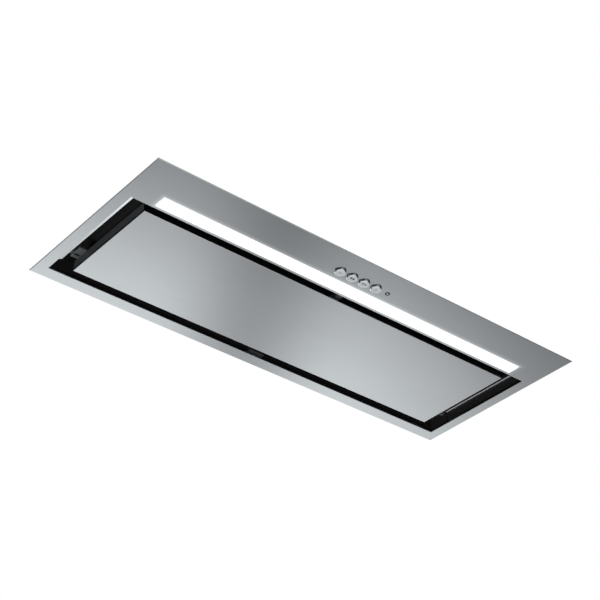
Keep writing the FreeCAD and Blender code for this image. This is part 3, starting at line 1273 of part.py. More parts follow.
def make_parts():
    """Every piece by its name."""
    rivets = plan_rivets()
    panel_rivets = plan_panel_rivets()
    panel_holes = [hole for solid, hole in panel_rivets]
    screws = plan_screws()
    rivet_holes = [hole for solid, hole in rivets]
    screw_holes = [hole for solid, hole in screws]
    lead_hole = rod(LEAD_RADIUS + RUNNING_FIT, (-HOUSING_X - CUT, 0, lead_z()), RIGHT, 2 * CUT)
    parts = {}

    def pair(name, right_shape, holes=()):
        parts[name + "_right"] = pierced(right_shape, holes)
        parts[name + "_left"] = pierced(mirrored(right_shape), holes)

    parts["face_plate"] = make_face_plate()
    parts["plate_nuts"] = make_plate_nuts()
    parts["light_diffuser"] = make_light_diffuser()
    parts["light_channel"] = make_light_channel()
    parts["light_caps"] = make_light_caps()
    parts["light_board"] = make_light_board()
    for number, x in enumerate(CONTROL_X[:-1], start=1):
        parts["button_%d" % number] = make_button(x)
    parts["indicator_lens"] = make_indicator_lens()
    parts["switch_bank"] = make_switch_bank()
    parts["switch_board"] = make_switch_board()

    parts["body_wrap"] = pierced(make_body_wrap(), rivet_holes + screw_holes)
    pair("body_end", make_body_end(), rivet_holes)
    pair("side_rail", make_side_rail())
    parts["bay_divider"] = make_bay_divider()
    parts["filter_tray"] = pierced(make_filter_tray(), rivet_holes)
    for side, centre in filter_centres().items():
        parts["filter_frame_" + side] = make_filter_frame(centre)
        parts["filter_mesh_" + side] = make_filter_mesh(centre)
        parts["filter_latch_" + side] = make_filter_latch(centre)

    parts["panel_skin"] = make_panel_skin()
    parts["panel_liner"] = pierced(make_panel_liner(), panel_holes)
    pair("hinge_arm", make_hinge_arm(), panel_holes)
    parts["panel_rivets"] = Part.makeCompound([solid for solid, hole in panel_rivets])
    pair("hinge_bracket", make_hinge_bracket(), rivet_holes)
    pin = make_hinge_pin()
    parts["hinge_pins"] = Part.makeCompound([mirrored(pin), pin])
    parts["catch_holder"] = make_catch_holder()
    parts["catch_magnet"] = magnet_space()
    parts["stop_buffer"] = make_stop_buffer()
    clips = [pierced(shape, rivet_holes) for place in CLIP_PLACES
             for shape in (make_clip(place), mirrored(make_clip(place)))]
    parts["spring_clips"] = Part.makeCompound(clips)

    parts["housing_wrap"] = pierced(make_housing_wrap(), rivet_holes + screw_holes)
    pair("housing_end", make_housing_end(), rivet_holes + screw_holes + [lead_hole])
    pair("scroll", make_scroll_half(), screw_holes)
    parts["impeller"] = make_impeller()
    parts["motor_shaft"] = make_motor_shaft()
    parts["motor"] = make_motor()
    parts["motor_spider"] = pierced(make_motor_spider(), screw_holes)

    parts["outlet_collar"] = pierced(make_outlet_collar(), screw_holes)
    parts["flap_pins"] = make_flap_pins()
    parts["flap_front"] = make_flap(-1)
    parts["flap_back"] = make_flap(1)

    parts["control_box"] = pierced(make_control_box(), screw_holes)
    parts["control_lid"] = pierced(make_control_lid(), screw_holes)
    parts["cable_gland"] = make_cable_gland()
    parts["main_board"] = make_main_board()
    parts["capacitor"] = make_capacitor()
    parts["motor_lead"] = make_motor_lead()
    parts["rivets"] = Part.makeCompound([solid for solid, hole in rivets])
    parts["screws"] = Part.makeCompound([solid for solid, hole in screws])
    return parts


def main():
    """Build every piece, test it and write its STEP file."""
    os.makedirs("parts", exist_ok=True)
    for name, shape in make_parts().items():
        if not shape.isValid() or not shape.Solids:
            raise ValueError("%s is not a valid solid" % name)
        shape.exportStep(os.path.join("parts", name + ".step"))
        print("%-20s solids %3d  volume %12.1f" % (name, len(shape.Solids), shape.Volume))


main()
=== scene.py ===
"""Looks of the built-in range hood: finishes for its solids, finer buttons and filter meshes, and a studio.

The file is laid out as an add-on and is run as a script.
"""
import math

import bmesh
import bpy
from bpy.props import FloatProperty, FloatVectorProperty, IntProperty, PointerProperty
from mathutils import Matrix, Vector


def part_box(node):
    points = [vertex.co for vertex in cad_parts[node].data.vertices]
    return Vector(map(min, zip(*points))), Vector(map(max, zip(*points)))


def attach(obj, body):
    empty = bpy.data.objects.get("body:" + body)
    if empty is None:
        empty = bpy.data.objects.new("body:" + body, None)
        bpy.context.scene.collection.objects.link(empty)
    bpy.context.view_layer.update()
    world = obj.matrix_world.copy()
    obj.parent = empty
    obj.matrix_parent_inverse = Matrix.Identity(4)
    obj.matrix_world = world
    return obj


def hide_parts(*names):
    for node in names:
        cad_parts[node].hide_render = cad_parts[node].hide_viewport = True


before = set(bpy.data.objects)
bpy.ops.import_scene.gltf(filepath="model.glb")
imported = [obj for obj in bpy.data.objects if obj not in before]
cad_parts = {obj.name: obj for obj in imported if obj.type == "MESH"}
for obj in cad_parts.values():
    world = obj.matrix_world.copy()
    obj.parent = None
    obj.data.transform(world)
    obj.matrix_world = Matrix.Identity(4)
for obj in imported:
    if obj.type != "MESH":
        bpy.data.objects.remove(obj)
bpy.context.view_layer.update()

bl_info = {
    "name": "Built-in Range Hood",
    "version": (1, 0, 0),
    "blender": (4, 5, 0),
    "location": "View3D > Sidebar > Range Hood",
    "description": "Dresses a built-in range hood and sets it in a white studio",
    "category": "Object",
}

MM = 0.001
WHITE = (1.0, 1.0, 1.0, 1.0)
PLATE_LOW, PLATE_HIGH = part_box("face_plate")

# Steps of round shapes, the angle from which an edge stays sharp, and the distance at which points merge
BUTTON_STEPS = 96
RING_STEPS = 48
RIM_STEPS = 6
SHARP_ANGLE = math.radians(24)
MERGE_DISTANCE = 0.001 * MM

# Shares of the radius at which the hollow of a button's face has points
DISH_SHARES = (0.0, 0.2, 0.4, 0.6, 0.8, 0.95)

# Plain signs on the buttons: each block's place across, width and depth as shares of the sign's size
MARK_BLOCKS = {
    "button_1": [(0.0, 0.7, 0.15)],
    "button_2": [(-0.275, 0.375, 0.425), (0.275, 0.375, 0.425)],
    "button_3": [(-0.275, 0.275, 0.45), (0.275, 0.425, 0.25)],
    "button_4": [(0.0, 0.175, 0.35)],
}
BOLD_MARKS = ("button_2", "button_3")

# Diamonds of the filter mesh: stretch along X and Y, and each layer's shift as a share of their pitch
DIAMOND_STRETCH = (1.2, 0.75, 1.0)
LAYER_SHIFT = 0.37


# Settings

def linear(hex_colour):
    """Linear red, green and blue of an sRGB hex colour."""
    shares = [int(hex_colour[i:i + 2], 16) / 255 for i in (1, 3, 5)]
    return [c / 12.92 if c <= 0.04045 else ((c + 0.055) / 1.055) ** 2.4 for c in shares]


def colour(name, description, hex_colour):
    """Colour setting with an sRGB hex default."""
    return FloatVectorProperty(name=name, description=description, subtype="COLOR", size=3, min=0.0, max=1.0,
                               default=linear(hex_colour))


def length(name, description, millimetres):
    """Length setting with a default in millimetres."""
    return FloatProperty(name=name, description=description, unit="LENGTH", default=millimetres * MM)


def angle(name, description, degrees):
    """Angle setting with a default in degrees."""
    return FloatProperty(name=name, description=description, subtype="ANGLE", default=math.radians(degrees))


def amount(name, description, default):
    """Setting that is a plain number."""
    return FloatProperty(name=name, description=description, default=default)


def place(name, description, metres):
    """Setting that is a place, with a default in metres."""
    return FloatVectorProperty(name=name, description=description, subtype="TRANSLATION", default=metres)


class HoodColours(bpy.types.PropertyGroup):
    """Colours of the hood's finishes and of the board round it."""

    stainless: colour("Stainless steel", "Satin sheet of the frame and the panel", "#C9CED1")
    powder_coat: colour("Powder coat", "Black paint of the body, the rails and the hinge brackets", "#1B1B1C")
    graphite: colour("Graphite paint", "Grey paint of the panel's lining", "#35383A")
    zinc: colour("Galvanised sheet", "Sheet of the blower housing", "#BFC4C8")
    spring_steel: colour("Spring steel", "Clips on the ends", "#A4A7AB")
    phosphate: colour("Phosphated steel", "Hinge arms and pins", "#3D3F41")
    # Pale colour of the rails' down-facing faces: their bare sheared edge, made pale as a painted highlight
    # for light from below
    bare_edge_and_sheen: colour("Sheared edge", "Bare lower edge of the side rails", "#A2A4A6")
    bright_zinc: colour("Bright zinc", "Screws, nuts, rivets and pins", "#D2D4D4")
    aluminium: colour("Aluminium", "Filters and light channel", "#D6D8DA")
    chrome: colour("Chrome", "Plated side of the buttons", "#E2E4E6")
    button_face: colour("Button face", "Satin silver lacquer on the buttons' faces", "#C6C9CB")
    grey_print: colour("Grey print", "Faint marks on the first and last button", "#7C7E80")
    black_print: colour("Black print", "Marks on the middle buttons, and the indicator's ring", "#101011")
    black_plastic: colour("Black plastic", "Control box, collar and holders", "#232324")
    flap_plastic: colour("Flap plastic", "Flaps in the outlet", "#4A4B4D")
    pale_plastic: colour("Pale plastic", "Scroll and impeller", "#D9D9D5")
    # This colour also tints the painted glow on the steel beside the strip
    opal: colour("Opal acrylic", "Cover of the light strip", "#FBFDFF")
    lens: colour("Lens", "Indicator beside the buttons", "#C4C6C8")
    solder_mask: colour("Solder mask", "Circuit boards", "#1E5A38")
    motor_paint: colour("Motor paint", "Motor, capacitor and magnet", "#7C7E80")
    rubber: colour("Rubber", "Stop and motor lead", "#1D1D1D")
    board_paint: colour("Board paint", "Upper side of the white board", "#F4F4F3")


class HoodSizes(bpy.types.PropertyGroup):
    """Sizes of the finishes and of the pieces made here."""

    # Grinding lines, mould grain and lacquer flakes are drawn coarser than real ones, so that they show
    brush_spacing: length("Brush spacing", "Distance between grinding lines", 0.7)
    brush_length: length("Brush length", "Length of a grinding line", 70.0)
    cloud_length: length("Cloud length", "Length of a faint cloud in the steel's tone", 160.0)
    cloud_width: length("Cloud width", "Width of a faint cloud in the steel's tone", 90.0)
    spangle: length("Spangle", "Width of a zinc crystal", 8.0)
    streak_length: length("Streak length", "Length of a level streak in the zinc", 50.0)
    streak_width: length("Streak width", "Height of a level streak in the zinc", 12.0)
    paint_peel: length("Paint peel", "Width of the orange peel in the paint", 1.6)
    mould_grain: length("Mould grain", "Width of the grain on moulded plastic", 0.9)
    plating_wave: length("Plating wave", "Width of the faint waves in chrome", 3.0)
    lacquer_flake: length("Lacquer flake", "Width of the flakes in silver lacquer", 0.5)
    lens_haze: length("Lens haze", "Width of the faint haze in the indicator's lens", 1.2)
    board_weave: length("Board weave", "Width of the glass weave in a circuit board", 1.2)
    opal_haze_length: length("Opal haze length", "Length of the faint haze in the strip's cover", 30.0)
    opal_haze_width: length("Opal haze width", "Width of the faint haze in the strip's cover", 12.0)
    glow_margin: length("Glow margin", "Width of the strip's edges over which its light falls off", 4.0)
    # Reach of the painted glow: emission on the steel beside the strip, standing in for light the strip
    # spills
    painted_glow_reach: length("Spill reach", "Distance at which the glow beside the strip falls to a third", 2.1)
    plate_sheet: length("Plate sheet", "Thickness of the frame's sheet at the buttons", 1.0)
    button_edge: length("Button edge", "Rounding of the button's rim", 1.4)
    button_taper: length("Button taper", "Narrowing of the button towards its face", 0.2)
    button_dish: length("Button dish", "Depth of the hollow in the button's face", 0.35)
    button_collar: length("Button collar", "Width of the collar that holds a button behind the plate", 1.2)
    collar_thick: length("Collar thickness", "Thickness of that collar", 2.0)
    stem_radius: length("Stem radius", "Radius of the button's stem", 2.5)
    mark_size: length("Mark size", "Width of the mark on a button", 7.2)
    mark_thick: length("Mark thickness", "Thickness of the mark, half of it sunk in the face", 0.3)
    mark_edge: length("Mark edge", "Rounding of the mark's edges", 0.06)
    bezel_bore: length("Bezel bore", "Radius of the opening in the indicator's ring", 1.5)
    bezel_radius: length("Bezel radius", "Outer radius of the ring's flange", 3.4)
    bezel_neck: length("Bezel neck", "Radius of the ring's neck in the plate", 2.95)
    bezel_seat: length("Bezel seat", "Radius of the ring's seat round the lens", 1.95)
    bezel_proud: length("Bezel height", "Height of the ring's flange on the plate", 0.4)
    bezel_gap: length("Bezel gap", "Gap between the ring's flange and the plate", 0.03)
    bezel_depth: length("Bezel depth", "Depth of the ring's neck in the plate", 0.9)
    mesh_pitch: length("Mesh pitch", "Length of a diamond in the filter mesh", 9.0)
    mesh_strand: length("Mesh strand", "Width of a strand in the filter mesh", 1.1)
    mesh_layers: IntProperty(name="Mesh layers", description="Layers of mesh in a filter", default=3, min=1)


class HoodStudio(bpy.types.PropertyGroup):
    """Camera, lights, backdrop and white board round the hood."""

    camera_place: place("Camera", "Place of the camera", (-1.1327, -1.3776, -1.1940))
    camera_aim: place("Aim", "Point in the middle of the picture", (-0.0387, -0.0222, -0.002))
    camera_roll: angle("Roll", "Turn of the camera about its axis", 0.24)
    camera_sensor: amount("Sensor", "Width of the camera's sensor in millimetres", 36.0)
    camera_lens: amount("Lens", "Focal length in millimetres", 93.59)
    camera_shift: FloatVectorProperty(name="Shift", description="Shift of the picture in shares of its width",
                                      size=2, default=(-0.001, 0.0013))
    board_gap: length("Board gap", "Gap between the frame and the white board round it", 0.5)
    board_reach: length("Board reach", "Half width of the white board", 30000.0)
    board_top: length("Board top", "Height of the board's upper side", -0.7)
    board_under: length("Board underside", "Height of the board's underside", -1.5)
    board_clear: length("Board clear", "Distance from the hood at which the board starts to fade", 450.0)
    board_fade: length("Board fade", "Distance from the hood at which the board is plain white", 1500.0)
    backdrop_distance: length("Backdrop distance", "Distance of the lit backdrop behind the hood", 1000.0)
    backdrop_width: length("Backdrop width", "Width of the backdrop", 2000.0)
    backdrop_low: length("Backdrop low", "Height of the backdrop's lower edge", -1300.0)
    backdrop_high: length("Backdrop high", "Height of the backdrop's upper edge", -80.0)
    backdrop_turn: angle("Backdrop turn", "Direction of the backdrop seen from above", 52.7)
    backdrop_light: amount("Backdrop light", "Brightness of the backdrop", 1.0)
    backdrop_tilt: amount("Backdrop tilt", "Rise of the light towards the left side", 0.28)
    right_share: amount("Right share", "Share of the light left on the backdrop's right side", 0.32)
    low_share: amount("Low share", "Share of the light left at the backdrop's foot", 0.28)
    middle_share: amount("Middle share", "Share of the light in the backdrop's middle", 1.15)
    band_place: length("Band place", "Place of the dark band on the backdrop, at the hood's height", 277.0)
    band_reach: length("Band reach", "Distance from the band's middle to full brightness", 230.0)
    band_slant: amount("Band slant", "Sideways run of the band for its height", 0.284)
    band_share: amount("Band share", "Share of the light left in the band", 0.42)
    horizon_light: amount("Horizon light", "Brightness round the horizon", 1.7)
    floor_light: amount("Floor light", "Brightness under the backdrop", 0.3)
    window_turn: angle("Window turn", "Direction of the window in front of the hood", 270.0)
    window_light: amount("Window light", "Brightness of that window", 0.6)
    table_light: amount("Table light", "Brightness straight below the hood", 1.1)
    dark_light: amount("Dark light", "Brightness of the dark side of the studio", 0.03)
    sky_light: amount("Sky light", "Brightness above the board", 0.62)
    strip_light: amount("Strip light", "Brightness of the light strip", 1.6)
    strip_edge_light: amount("Strip edge light", "Brightness of the strip at its edges", 0.4)
    # Brightness of the painted glow, an emission in the steel itself beside the strip
    painted_glow_light: amount("Spill light", "Brightness of the glow on the steel right beside the strip", 0.34)
    under_place: place("Lamp below", "Place of the lamp below the hood", (-1.5, -0.4, -1.7))
    under_aim: place("Aim below", "Point that the lamp below faces", (0.0, 0.0, 0.0))
    under_size: length("Size below", "Width of the lamp below", 500.0)
    under_light: amount("Light below", "Brightness of the lamp below", 60.0)
    over_place: place("Lamp above", "Place of the lamp above the hood", (-1.6, -1.8, 2.4))
    over_aim: place("Aim above", "Point that the lamp above faces", (0.0, 0.0, 0.1))
    over_size: length("Size above", "Width of the lamp above", 1600.0)
    over_light: amount("Light above", "Brightness of the lamp above", 2.6)


class HoodSettings(bpy.types.PropertyGroup):
    """All settings of the hood."""

    colours: PointerProperty(type=HoodColours)
    sizes: PointerProperty(type=HoodSizes)
    studio: PointerProperty(type=HoodStudio)


# Materials: how each surface was made decides its colour, gloss and grain; the steel also gets a painted glow
# beside the strip

# A finish changes over these spans: the middle of a noise, and the faces that look down, which the rails show
# pale as a bare edge and as a painted highlight
NOISE_SPAN = {"From Min": 0.3, "From Max": 0.7}
BARE_EDGE_AND_SHEEN_SPAN = {"From Min": -0.8, "From Max": -0.95}
SMOOTH = {"interpolation_type": "SMOOTHSTEP"}
METAL = {"Metallic": 1.0}


def add(tree, kind, inputs=None, **settings):
    """Adds a node with its settings, and sets or links its inputs."""
    node = tree.nodes.new(kind)
    for name, value in settings.items():
        setattr(node, name, value)
    for name, value in (inputs or {}).items():
        if isinstance(value, bpy.types.NodeSocket):
            tree.links.new(value, node.inputs[name])
        else:
            node.inputs[name].default_value = value
    return node


def start_material(name):
    """Empty node material and its tree."""
    material = bpy.data.materials.new(name)
    material.use_nodes = True
    material.node_tree.nodes.clear()
    return material, material.node_tree


def rgba(values):
    """Colour with full alpha."""
    return [*values, 1.0]


def grain(tree, size, detail=2.0):
    """Noise of a given size in each direction, on the object's own coordinates."""
    point = add(tree, "ShaderNodeTexCoord").outputs["Object"]
    scaled = add(tree, "ShaderNodeMapping", {"Vector": point, "Scale": [1 / side for side in size]})
    noise = add(tree, "ShaderNodeTexNoise", {"Vector": scaled.outputs["Vector"], "Scale": 1.0,
                                             "Detail": detail})
    return noise.outputs["Fac"]


def toned(tree, values, pattern, low, high):
    """Colour times a share that follows a pattern from low to high."""
    share = add(tree, "ShaderNodeMapRange", {"Value": pattern, "To Min": low, "To Max": high})
    scaled = add(tree, "ShaderNodeVectorMath", {0: values, "Scale": share.outputs["Result"]},
                 operation="SCALE")
    return scaled.outputs["Vector"]


def surface(tree, base, gloss, relief=None, sockets=None):
    """Principled surface of a base colour.

    Gloss is a pattern with the lowest and highest roughness, relief a pattern with its depth and strength.
    """
    pattern, low, high = gloss
    rough = add(tree, "ShaderNodeMapRange", {"Value": pattern, **NOISE_SPAN, "To Min": low, "To Max": high})
    inputs = {"Base Color": base, "Roughness": rough.outputs["Result"], **(sockets or {})}
    if relief:
        pattern, depth, strength = relief
        bump = add(tree, "ShaderNodeBump", {"Height": pattern, "Distance": depth, "Strength": strength})
        inputs["Normal"] = bump.outputs["Normal"]
    shader = add(tree, "ShaderNodeBsdfPrincipled", inputs)
    add(tree, "ShaderNodeOutputMaterial", {"Surface": shader.outputs["BSDF"]})


def painted_spill_glow(tree, hood):
    """Painted glow: emission on the steel beside the lit strip, which fades with the distance from the strip
    and stands in for light the strip spills.
    """
    low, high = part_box("light_diffuser")
    point = add(tree, "ShaderNodeTexCoord").outputs["Object"]
    centred = add(tree, "ShaderNodeVectorMath", {0: point, 1: (low + high) / 2}, operation="SUBTRACT")
    folded = add(tree, "ShaderNodeVectorMath", {0: centred.outputs["Vector"]}, operation="ABSOLUTE")
    beyond = add(tree, "ShaderNodeVectorMath", {0: folded.outputs["Vector"], 1: (high - low) / 2},
                 operation="SUBTRACT")
    outside = add(tree, "ShaderNodeVectorMath", {0: beyond.outputs["Vector"], 1: (0.0, 0.0, 0.0)},
                  operation="MAXIMUM")
    distance = add(tree, "ShaderNodeVectorMath", {0: outside.outputs["Vector"]}, operation="LENGTH")
    fading = add(tree, "ShaderNodeMath", {0: distance.outputs["Value"], 1: -1 / hood.sizes.painted_glow_reach},
                 operation="MULTIPLY")
    share = add(tree, "ShaderNodeMath", {0: fading.outputs["Value"]}, operation="EXPONENT")
    strength = add(tree, "ShaderNodeMath", {0: share.outputs["Value"], 1: hood.studio.painted_glow_light},
                   operation="MULTIPLY")
    return strength.outputs["Value"]


def brushed_stainless(hood):
    """Stainless sheet ground along its length: soft mirror with faint lines along X, and a painted glow
    beside the strip.
    """
    material, tree = start_material("brushed_stainless_steel")
    sizes = hood.sizes
    lines = grain(tree, (sizes.brush_length, sizes.brush_spacing, sizes.brush_spacing), detail=3.0)
    clouds = grain(tree, (sizes.cloud_length, sizes.cloud_width, sizes.cloud_width), detail=1.0)
    # Painted glow: the steel itself emits the strip's colour near the strip
    glow = {"Emission Color": rgba(hood.colours.opal), "Emission Strength": painted_spill_glow(tree, hood)}
    surface(tree, toned(tree, hood.colours.stainless, clouds, 0.96, 1.03), gloss=(lines, 0.17, 0.24),
            relief=(lines, 0.01 * MM, 0.25), sockets={**METAL, **glow})
    return material


def coated_steel(name, hood, values):
    """Powder coat baked on steel, or a phosphate layer: even satin with a faint orange peel."""
    material, tree = start_material(name)
    peel = grain(tree, [hood.sizes.paint_peel] * 3)
    surface(tree, toned(tree, values, peel, 0.85, 1.15), gloss=(peel, 0.42, 0.52),
            relief=(peel, 0.05 * MM, 0.35))
    return material


def strip_with_bare_edge_and_sheen(hood):
    """Painted strip cut to width: black faces, and a pale bare edge on the faces that look down, which is
    also a painted highlight for the lamp light from below.
    """
    material, tree = start_material("sheared_steel_with_underside_sheen")
    peel = grain(tree, [hood.sizes.paint_peel] * 3)
    facing = add(tree, "ShaderNodeTexCoord").outputs["Normal"]
    upwards = add(tree, "ShaderNodeSeparateXYZ", {"Vector": facing}).outputs["Z"]
    # Faces that look down get the pale colour: bare edge and painted highlight in one
    edge = add(tree, "ShaderNodeMapRange", {"Value": upwards, **BARE_EDGE_AND_SHEEN_SPAN})
    paint = toned(tree, hood.colours.powder_coat, peel, 0.85, 1.15)
    bare = toned(tree, hood.colours.bare_edge_and_sheen, peel, 0.85, 1.1)
    base = add(tree, "ShaderNodeMix", {"Factor": edge.outputs["Result"], "A": paint, "B": bare},
               data_type="RGBA")
    surface(tree, base.outputs["Result"], gloss=(peel, 0.42, 0.52))
    return material


def galvanised_sheet(hood):
    """Hot-dipped zinc: flat crystals that differ in tone and gloss."""
    material, tree = start_material("galvanised_steel")
    sizes = hood.sizes
    point = add(tree, "ShaderNodeTexCoord").outputs["Object"]
    crystals = add(tree, "ShaderNodeTexVoronoi", {"Vector": point, "Scale": 1 / sizes.spangle})
    chance = add(tree, "ShaderNodeSeparateColor", {"Color": crystals.outputs["Color"]}).outputs
    streaks = grain(tree, (sizes.streak_length, sizes.streak_length, sizes.streak_width))
    surface(tree, toned(tree, hood.colours.zinc, chance["Red"], 0.89, 1.03),
            gloss=(chance["Green"], 0.34, 0.46), relief=(streaks, 0.1 * MM, 0.15), sockets=METAL)
    return material


def plain_metal(name, values, roughness, grain_size):
    """Rolled, drawn, extruded, plated or metallic-painted metal, with lines or specks in its gloss."""
    material, tree = start_material(name)
    lines = grain(tree, grain_size)
    surface(tree, toned(tree, values, lines, 0.92, 1.05), gloss=(lines, roughness - 0.05, roughness + 0.05),
            sockets=METAL)
    return material


def moulded_plastic(name, hood, values, roughness):
    """Plastic or rubber from a spark-eroded mould, and print with a like skin: matt with fine specks."""
    material, tree = start_material(name)
    specks = grain(tree, [hood.sizes.mould_grain] * 3)
    surface(tree, toned(tree, values, specks, 0.93, 1.06), gloss=(specks, roughness - 0.06, roughness + 0.06),
            relief=(specks, 0.04 * MM, 0.4))
    return material


def lit_opal(hood):
    """Opal acrylic with the diodes lit behind it: even white that fades towards the channel's walls."""
    material, tree = start_material("opal_acrylic")
    sizes, studio = hood.sizes, hood.studio
    haze = grain(tree, (sizes.opal_haze_length, sizes.opal_haze_width, sizes.opal_haze_width))
    low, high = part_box("light_diffuser")
    half_width = (high.y - low.y) / 2
    point = add(tree, "ShaderNodeTexCoord").outputs["Object"]
    across = add(tree, "ShaderNodeSeparateXYZ", {"Vector": point}).outputs["Y"]
    offset = add(tree, "ShaderNodeMath", {0: across, 1: (low.y + high.y) / 2}, operation="SUBTRACT")
    away = add(tree, "ShaderNodeMath", {0: offset.outputs["Value"]}, operation="ABSOLUTE")
    light = add(tree, "ShaderNodeMapRange", {
        "Value": away.outputs["Value"], "From Min": half_width - sizes.glow_margin, "From Max": half_width,
        "To Min": studio.strip_light, "To Max": studio.strip_edge_light}, **SMOOTH)
    glow = {"Emission Color": toned(tree, hood.colours.opal, haze, 0.98, 1.0),
            "Emission Strength": light.outputs["Result"]}
    surface(tree, rgba(hood.colours.opal), gloss=(haze, 0.38, 0.46), sockets=glow)
    return material


def chrome_plate(hood):
    """Chrome plated on moulded plastic: a clean dark mirror."""
    material, tree = start_material("chrome_plating")
    waves = grain(tree, [hood.sizes.plating_wave] * 3)
    surface(tree, rgba(hood.colours.chrome), gloss=(waves, 0.05, 0.09), sockets=METAL)
    return material


def satin_lacquer(hood):
    """Silver lacquer on the buttons' faces: fine metal flake under a satin coat."""
    material, tree = start_material("satin_silver_lacquer")
    flakes = grain(tree, [hood.sizes.lacquer_flake] * 3)
    surface(tree, toned(tree, hood.colours.button_face, flakes, 0.95, 1.0), gloss=(flakes, 0.32, 0.42),
            sockets={"Metallic": 0.6})
    return material


def clear_lens(hood):
    """Moulded lens over the indicator: glossy and pale."""
    material, tree = start_material("clear_polycarbonate")
    haze = grain(tree, [hood.sizes.lens_haze] * 3)
    surface(tree, toned(tree, hood.colours.lens, haze, 0.95, 1.03), gloss=(haze, 0.1, 0.16),
            sockets={"Coat Weight": 0.3})
    return material


def circuit_board(hood):
    """Glass-fibre board under green solder mask, with the weave just showing."""
    material, tree = start_material("solder_mask_on_glass_fibre")
    weave = grain(tree, [hood.sizes.board_weave] * 3)
    surface(tree, toned(tree, hood.colours.solder_mask, weave, 0.85, 1.1), gloss=(weave, 0.28, 0.36))
    return material


def dress(material, *names):
    """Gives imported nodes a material."""
    for name in names:
        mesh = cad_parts[name].data
        mesh.materials.clear()
        mesh.materials.append(material)


# Pieces

def make_object(name, shape, materials):
    """Object in the scene from a bmesh, which is freed."""
    mesh = bpy.data.meshes.new(name)
    shape.to_mesh(mesh)
    shape.free()
    for material in materials:
        mesh.materials.append(material)
    piece = bpy.data.objects.new(name, mesh)
    bpy.context.scene.collection.objects.link(piece)
    return piece


def hood_piece(name, shape, materials, body, replaced=()):
    """Piece of the hood that rides on a body."""
    piece = make_object(name, shape, materials)
    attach(piece, body)
    if replaced:
        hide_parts(*replaced)


def settle_order(shape):
    """Puts faces in the order of their points, because spin makes them in a different order each run."""
    shape.verts.index_update()
    ordered = sorted(shape.faces, key=lambda face: [vert.index for vert in face.verts])
    ranks = {face: rank for rank, face in enumerate(ordered)}
    shape.faces.sort(key=ranks.get)


def lathe(profile, centre, steps):
    """Shape turned about an upright axis from a profile of radius and height."""
    shape = bmesh.new()
    corners = [shape.verts.new((centre.x + radius, centre.y, height)) for radius, height in profile]
    edges = [shape.edges.new(pair) for pair in zip(corners, corners[1:])]
    bmesh.ops.spin(shape, geom=corners + edges, cent=(centre.x, centre.y, 0.0), axis=(0, 0, 1),
                   angle=2 * math.pi, steps=steps, use_merge=True)
    bmesh.ops.remove_doubles(shape, verts=shape.verts[:], dist=MERGE_DISTANCE)
    bmesh.ops.recalc_face_normals(shape, faces=shape.faces[:])
    settle_order(shape)
    for face in shape.faces:
        face.smooth = True
    for edge in shape.edges:
        edge.smooth = edge.calc_face_angle(0.0) < SHARP_ANGLE
    return shape


def arc(centre_radius, centre_height, radius, start, end, count):
    """Points of a rounded edge in a lathe profile, from a start to an end in degrees."""
    turns = [math.radians(start + (end - start) * i / count) for i in range(count + 1)]
    return [(centre_radius + radius * math.cos(turn), centre_height + radius * math.sin(turn))
            for turn in turns]


def button_centre(node):
    """Middle of a button's face."""
    low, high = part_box(node)
    return Vector(((low.x + high.x) / 2, (low.y + high.y) / 2, low.z))


def turned_button(node, sizes):
    """Button from its hollow face to its stem, with the face in the second material."""
    low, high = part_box(node)
    centre = button_centre(node)
    edge = sizes.button_edge
    proud = PLATE_LOW.z - low.z
    slope = math.atan2(sizes.button_taper, proud)
    collar_radius = (high.x - low.x) / 2
    cap_radius = collar_radius - sizes.button_collar
    side_radius = cap_radius - sizes.button_taper * (1 - edge / proud)
    face_radius = side_radius - edge / math.cos(slope)
    sheet_top = PLATE_LOW.z + sizes.plate_sheet
    collar_top = sheet_top + sizes.collar_thick
    dish = [(face_radius * share, low.z + sizes.button_dish * (1 - share * share)) for share in DISH_SHARES]
    rim = arc(face_radius, low.z + edge, edge, -90, -math.degrees(slope), RIM_STEPS)
    side = [(cap_radius, PLATE_LOW.z), (cap_radius, sheet_top)]
    collar = [(collar_radius, sheet_top), (collar_radius, collar_top)]
    stem = [(sizes.stem_radius, collar_top), (sizes.stem_radius, high.z), (0.0, high.z)]
    shape = lathe(dish + rim + side + collar + stem, centre, BUTTON_STEPS)
    for face in shape.faces:
        middle = face.calc_center_median()
        on_face = middle.z < PLATE_LOW.z and (middle - centre).to_2d().length < face_radius
        face.material_index = 1 if on_face else 0
    return shape


def printed_mark(node, blocks, sizes):
    """Raised print in the hollow of a button's face: thin blocks with rounded edges."""
    shape = bmesh.new()
    for across, width, depth in blocks:
        middle = button_centre(node) + Vector((across * sizes.mark_size, 0.0, sizes.button_dish))
        size = Matrix.Diagonal((width * sizes.mark_size, depth * sizes.mark_size, sizes.mark_thick, 1.0))
        made = bmesh.ops.create_cube(shape, size=1.0, matrix=Matrix.Translation(middle) @ size)
        edges = {edge for vert in made["verts"] for edge in vert.link_edges}
        bmesh.ops.bevel(shape, geom=list(edges), offset=sizes.mark_edge, affect="EDGES", segments=2,
                        profile=0.5, material=-1)
    return shape


def turned_bezel(sizes):
    """Flanged ring that lies on the plate round the indicator's lens."""
    low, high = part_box("indicator_lens")
    front = PLATE_LOW.z - sizes.bezel_proud
    back = PLATE_LOW.z - sizes.bezel_gap
    top = PLATE_LOW.z + sizes.bezel_depth
    flange = [(sizes.bezel_bore, back), (sizes.bezel_bore, front), (sizes.bezel_radius, front),
              (sizes.bezel_radius, back)]
    neck = [(sizes.bezel_neck, back), (sizes.bezel_neck, top), (sizes.bezel_seat, top),
            (sizes.bezel_seat, back)]
    return lathe(flange + neck + flange[:1], (low + high) / 2, RING_STEPS)


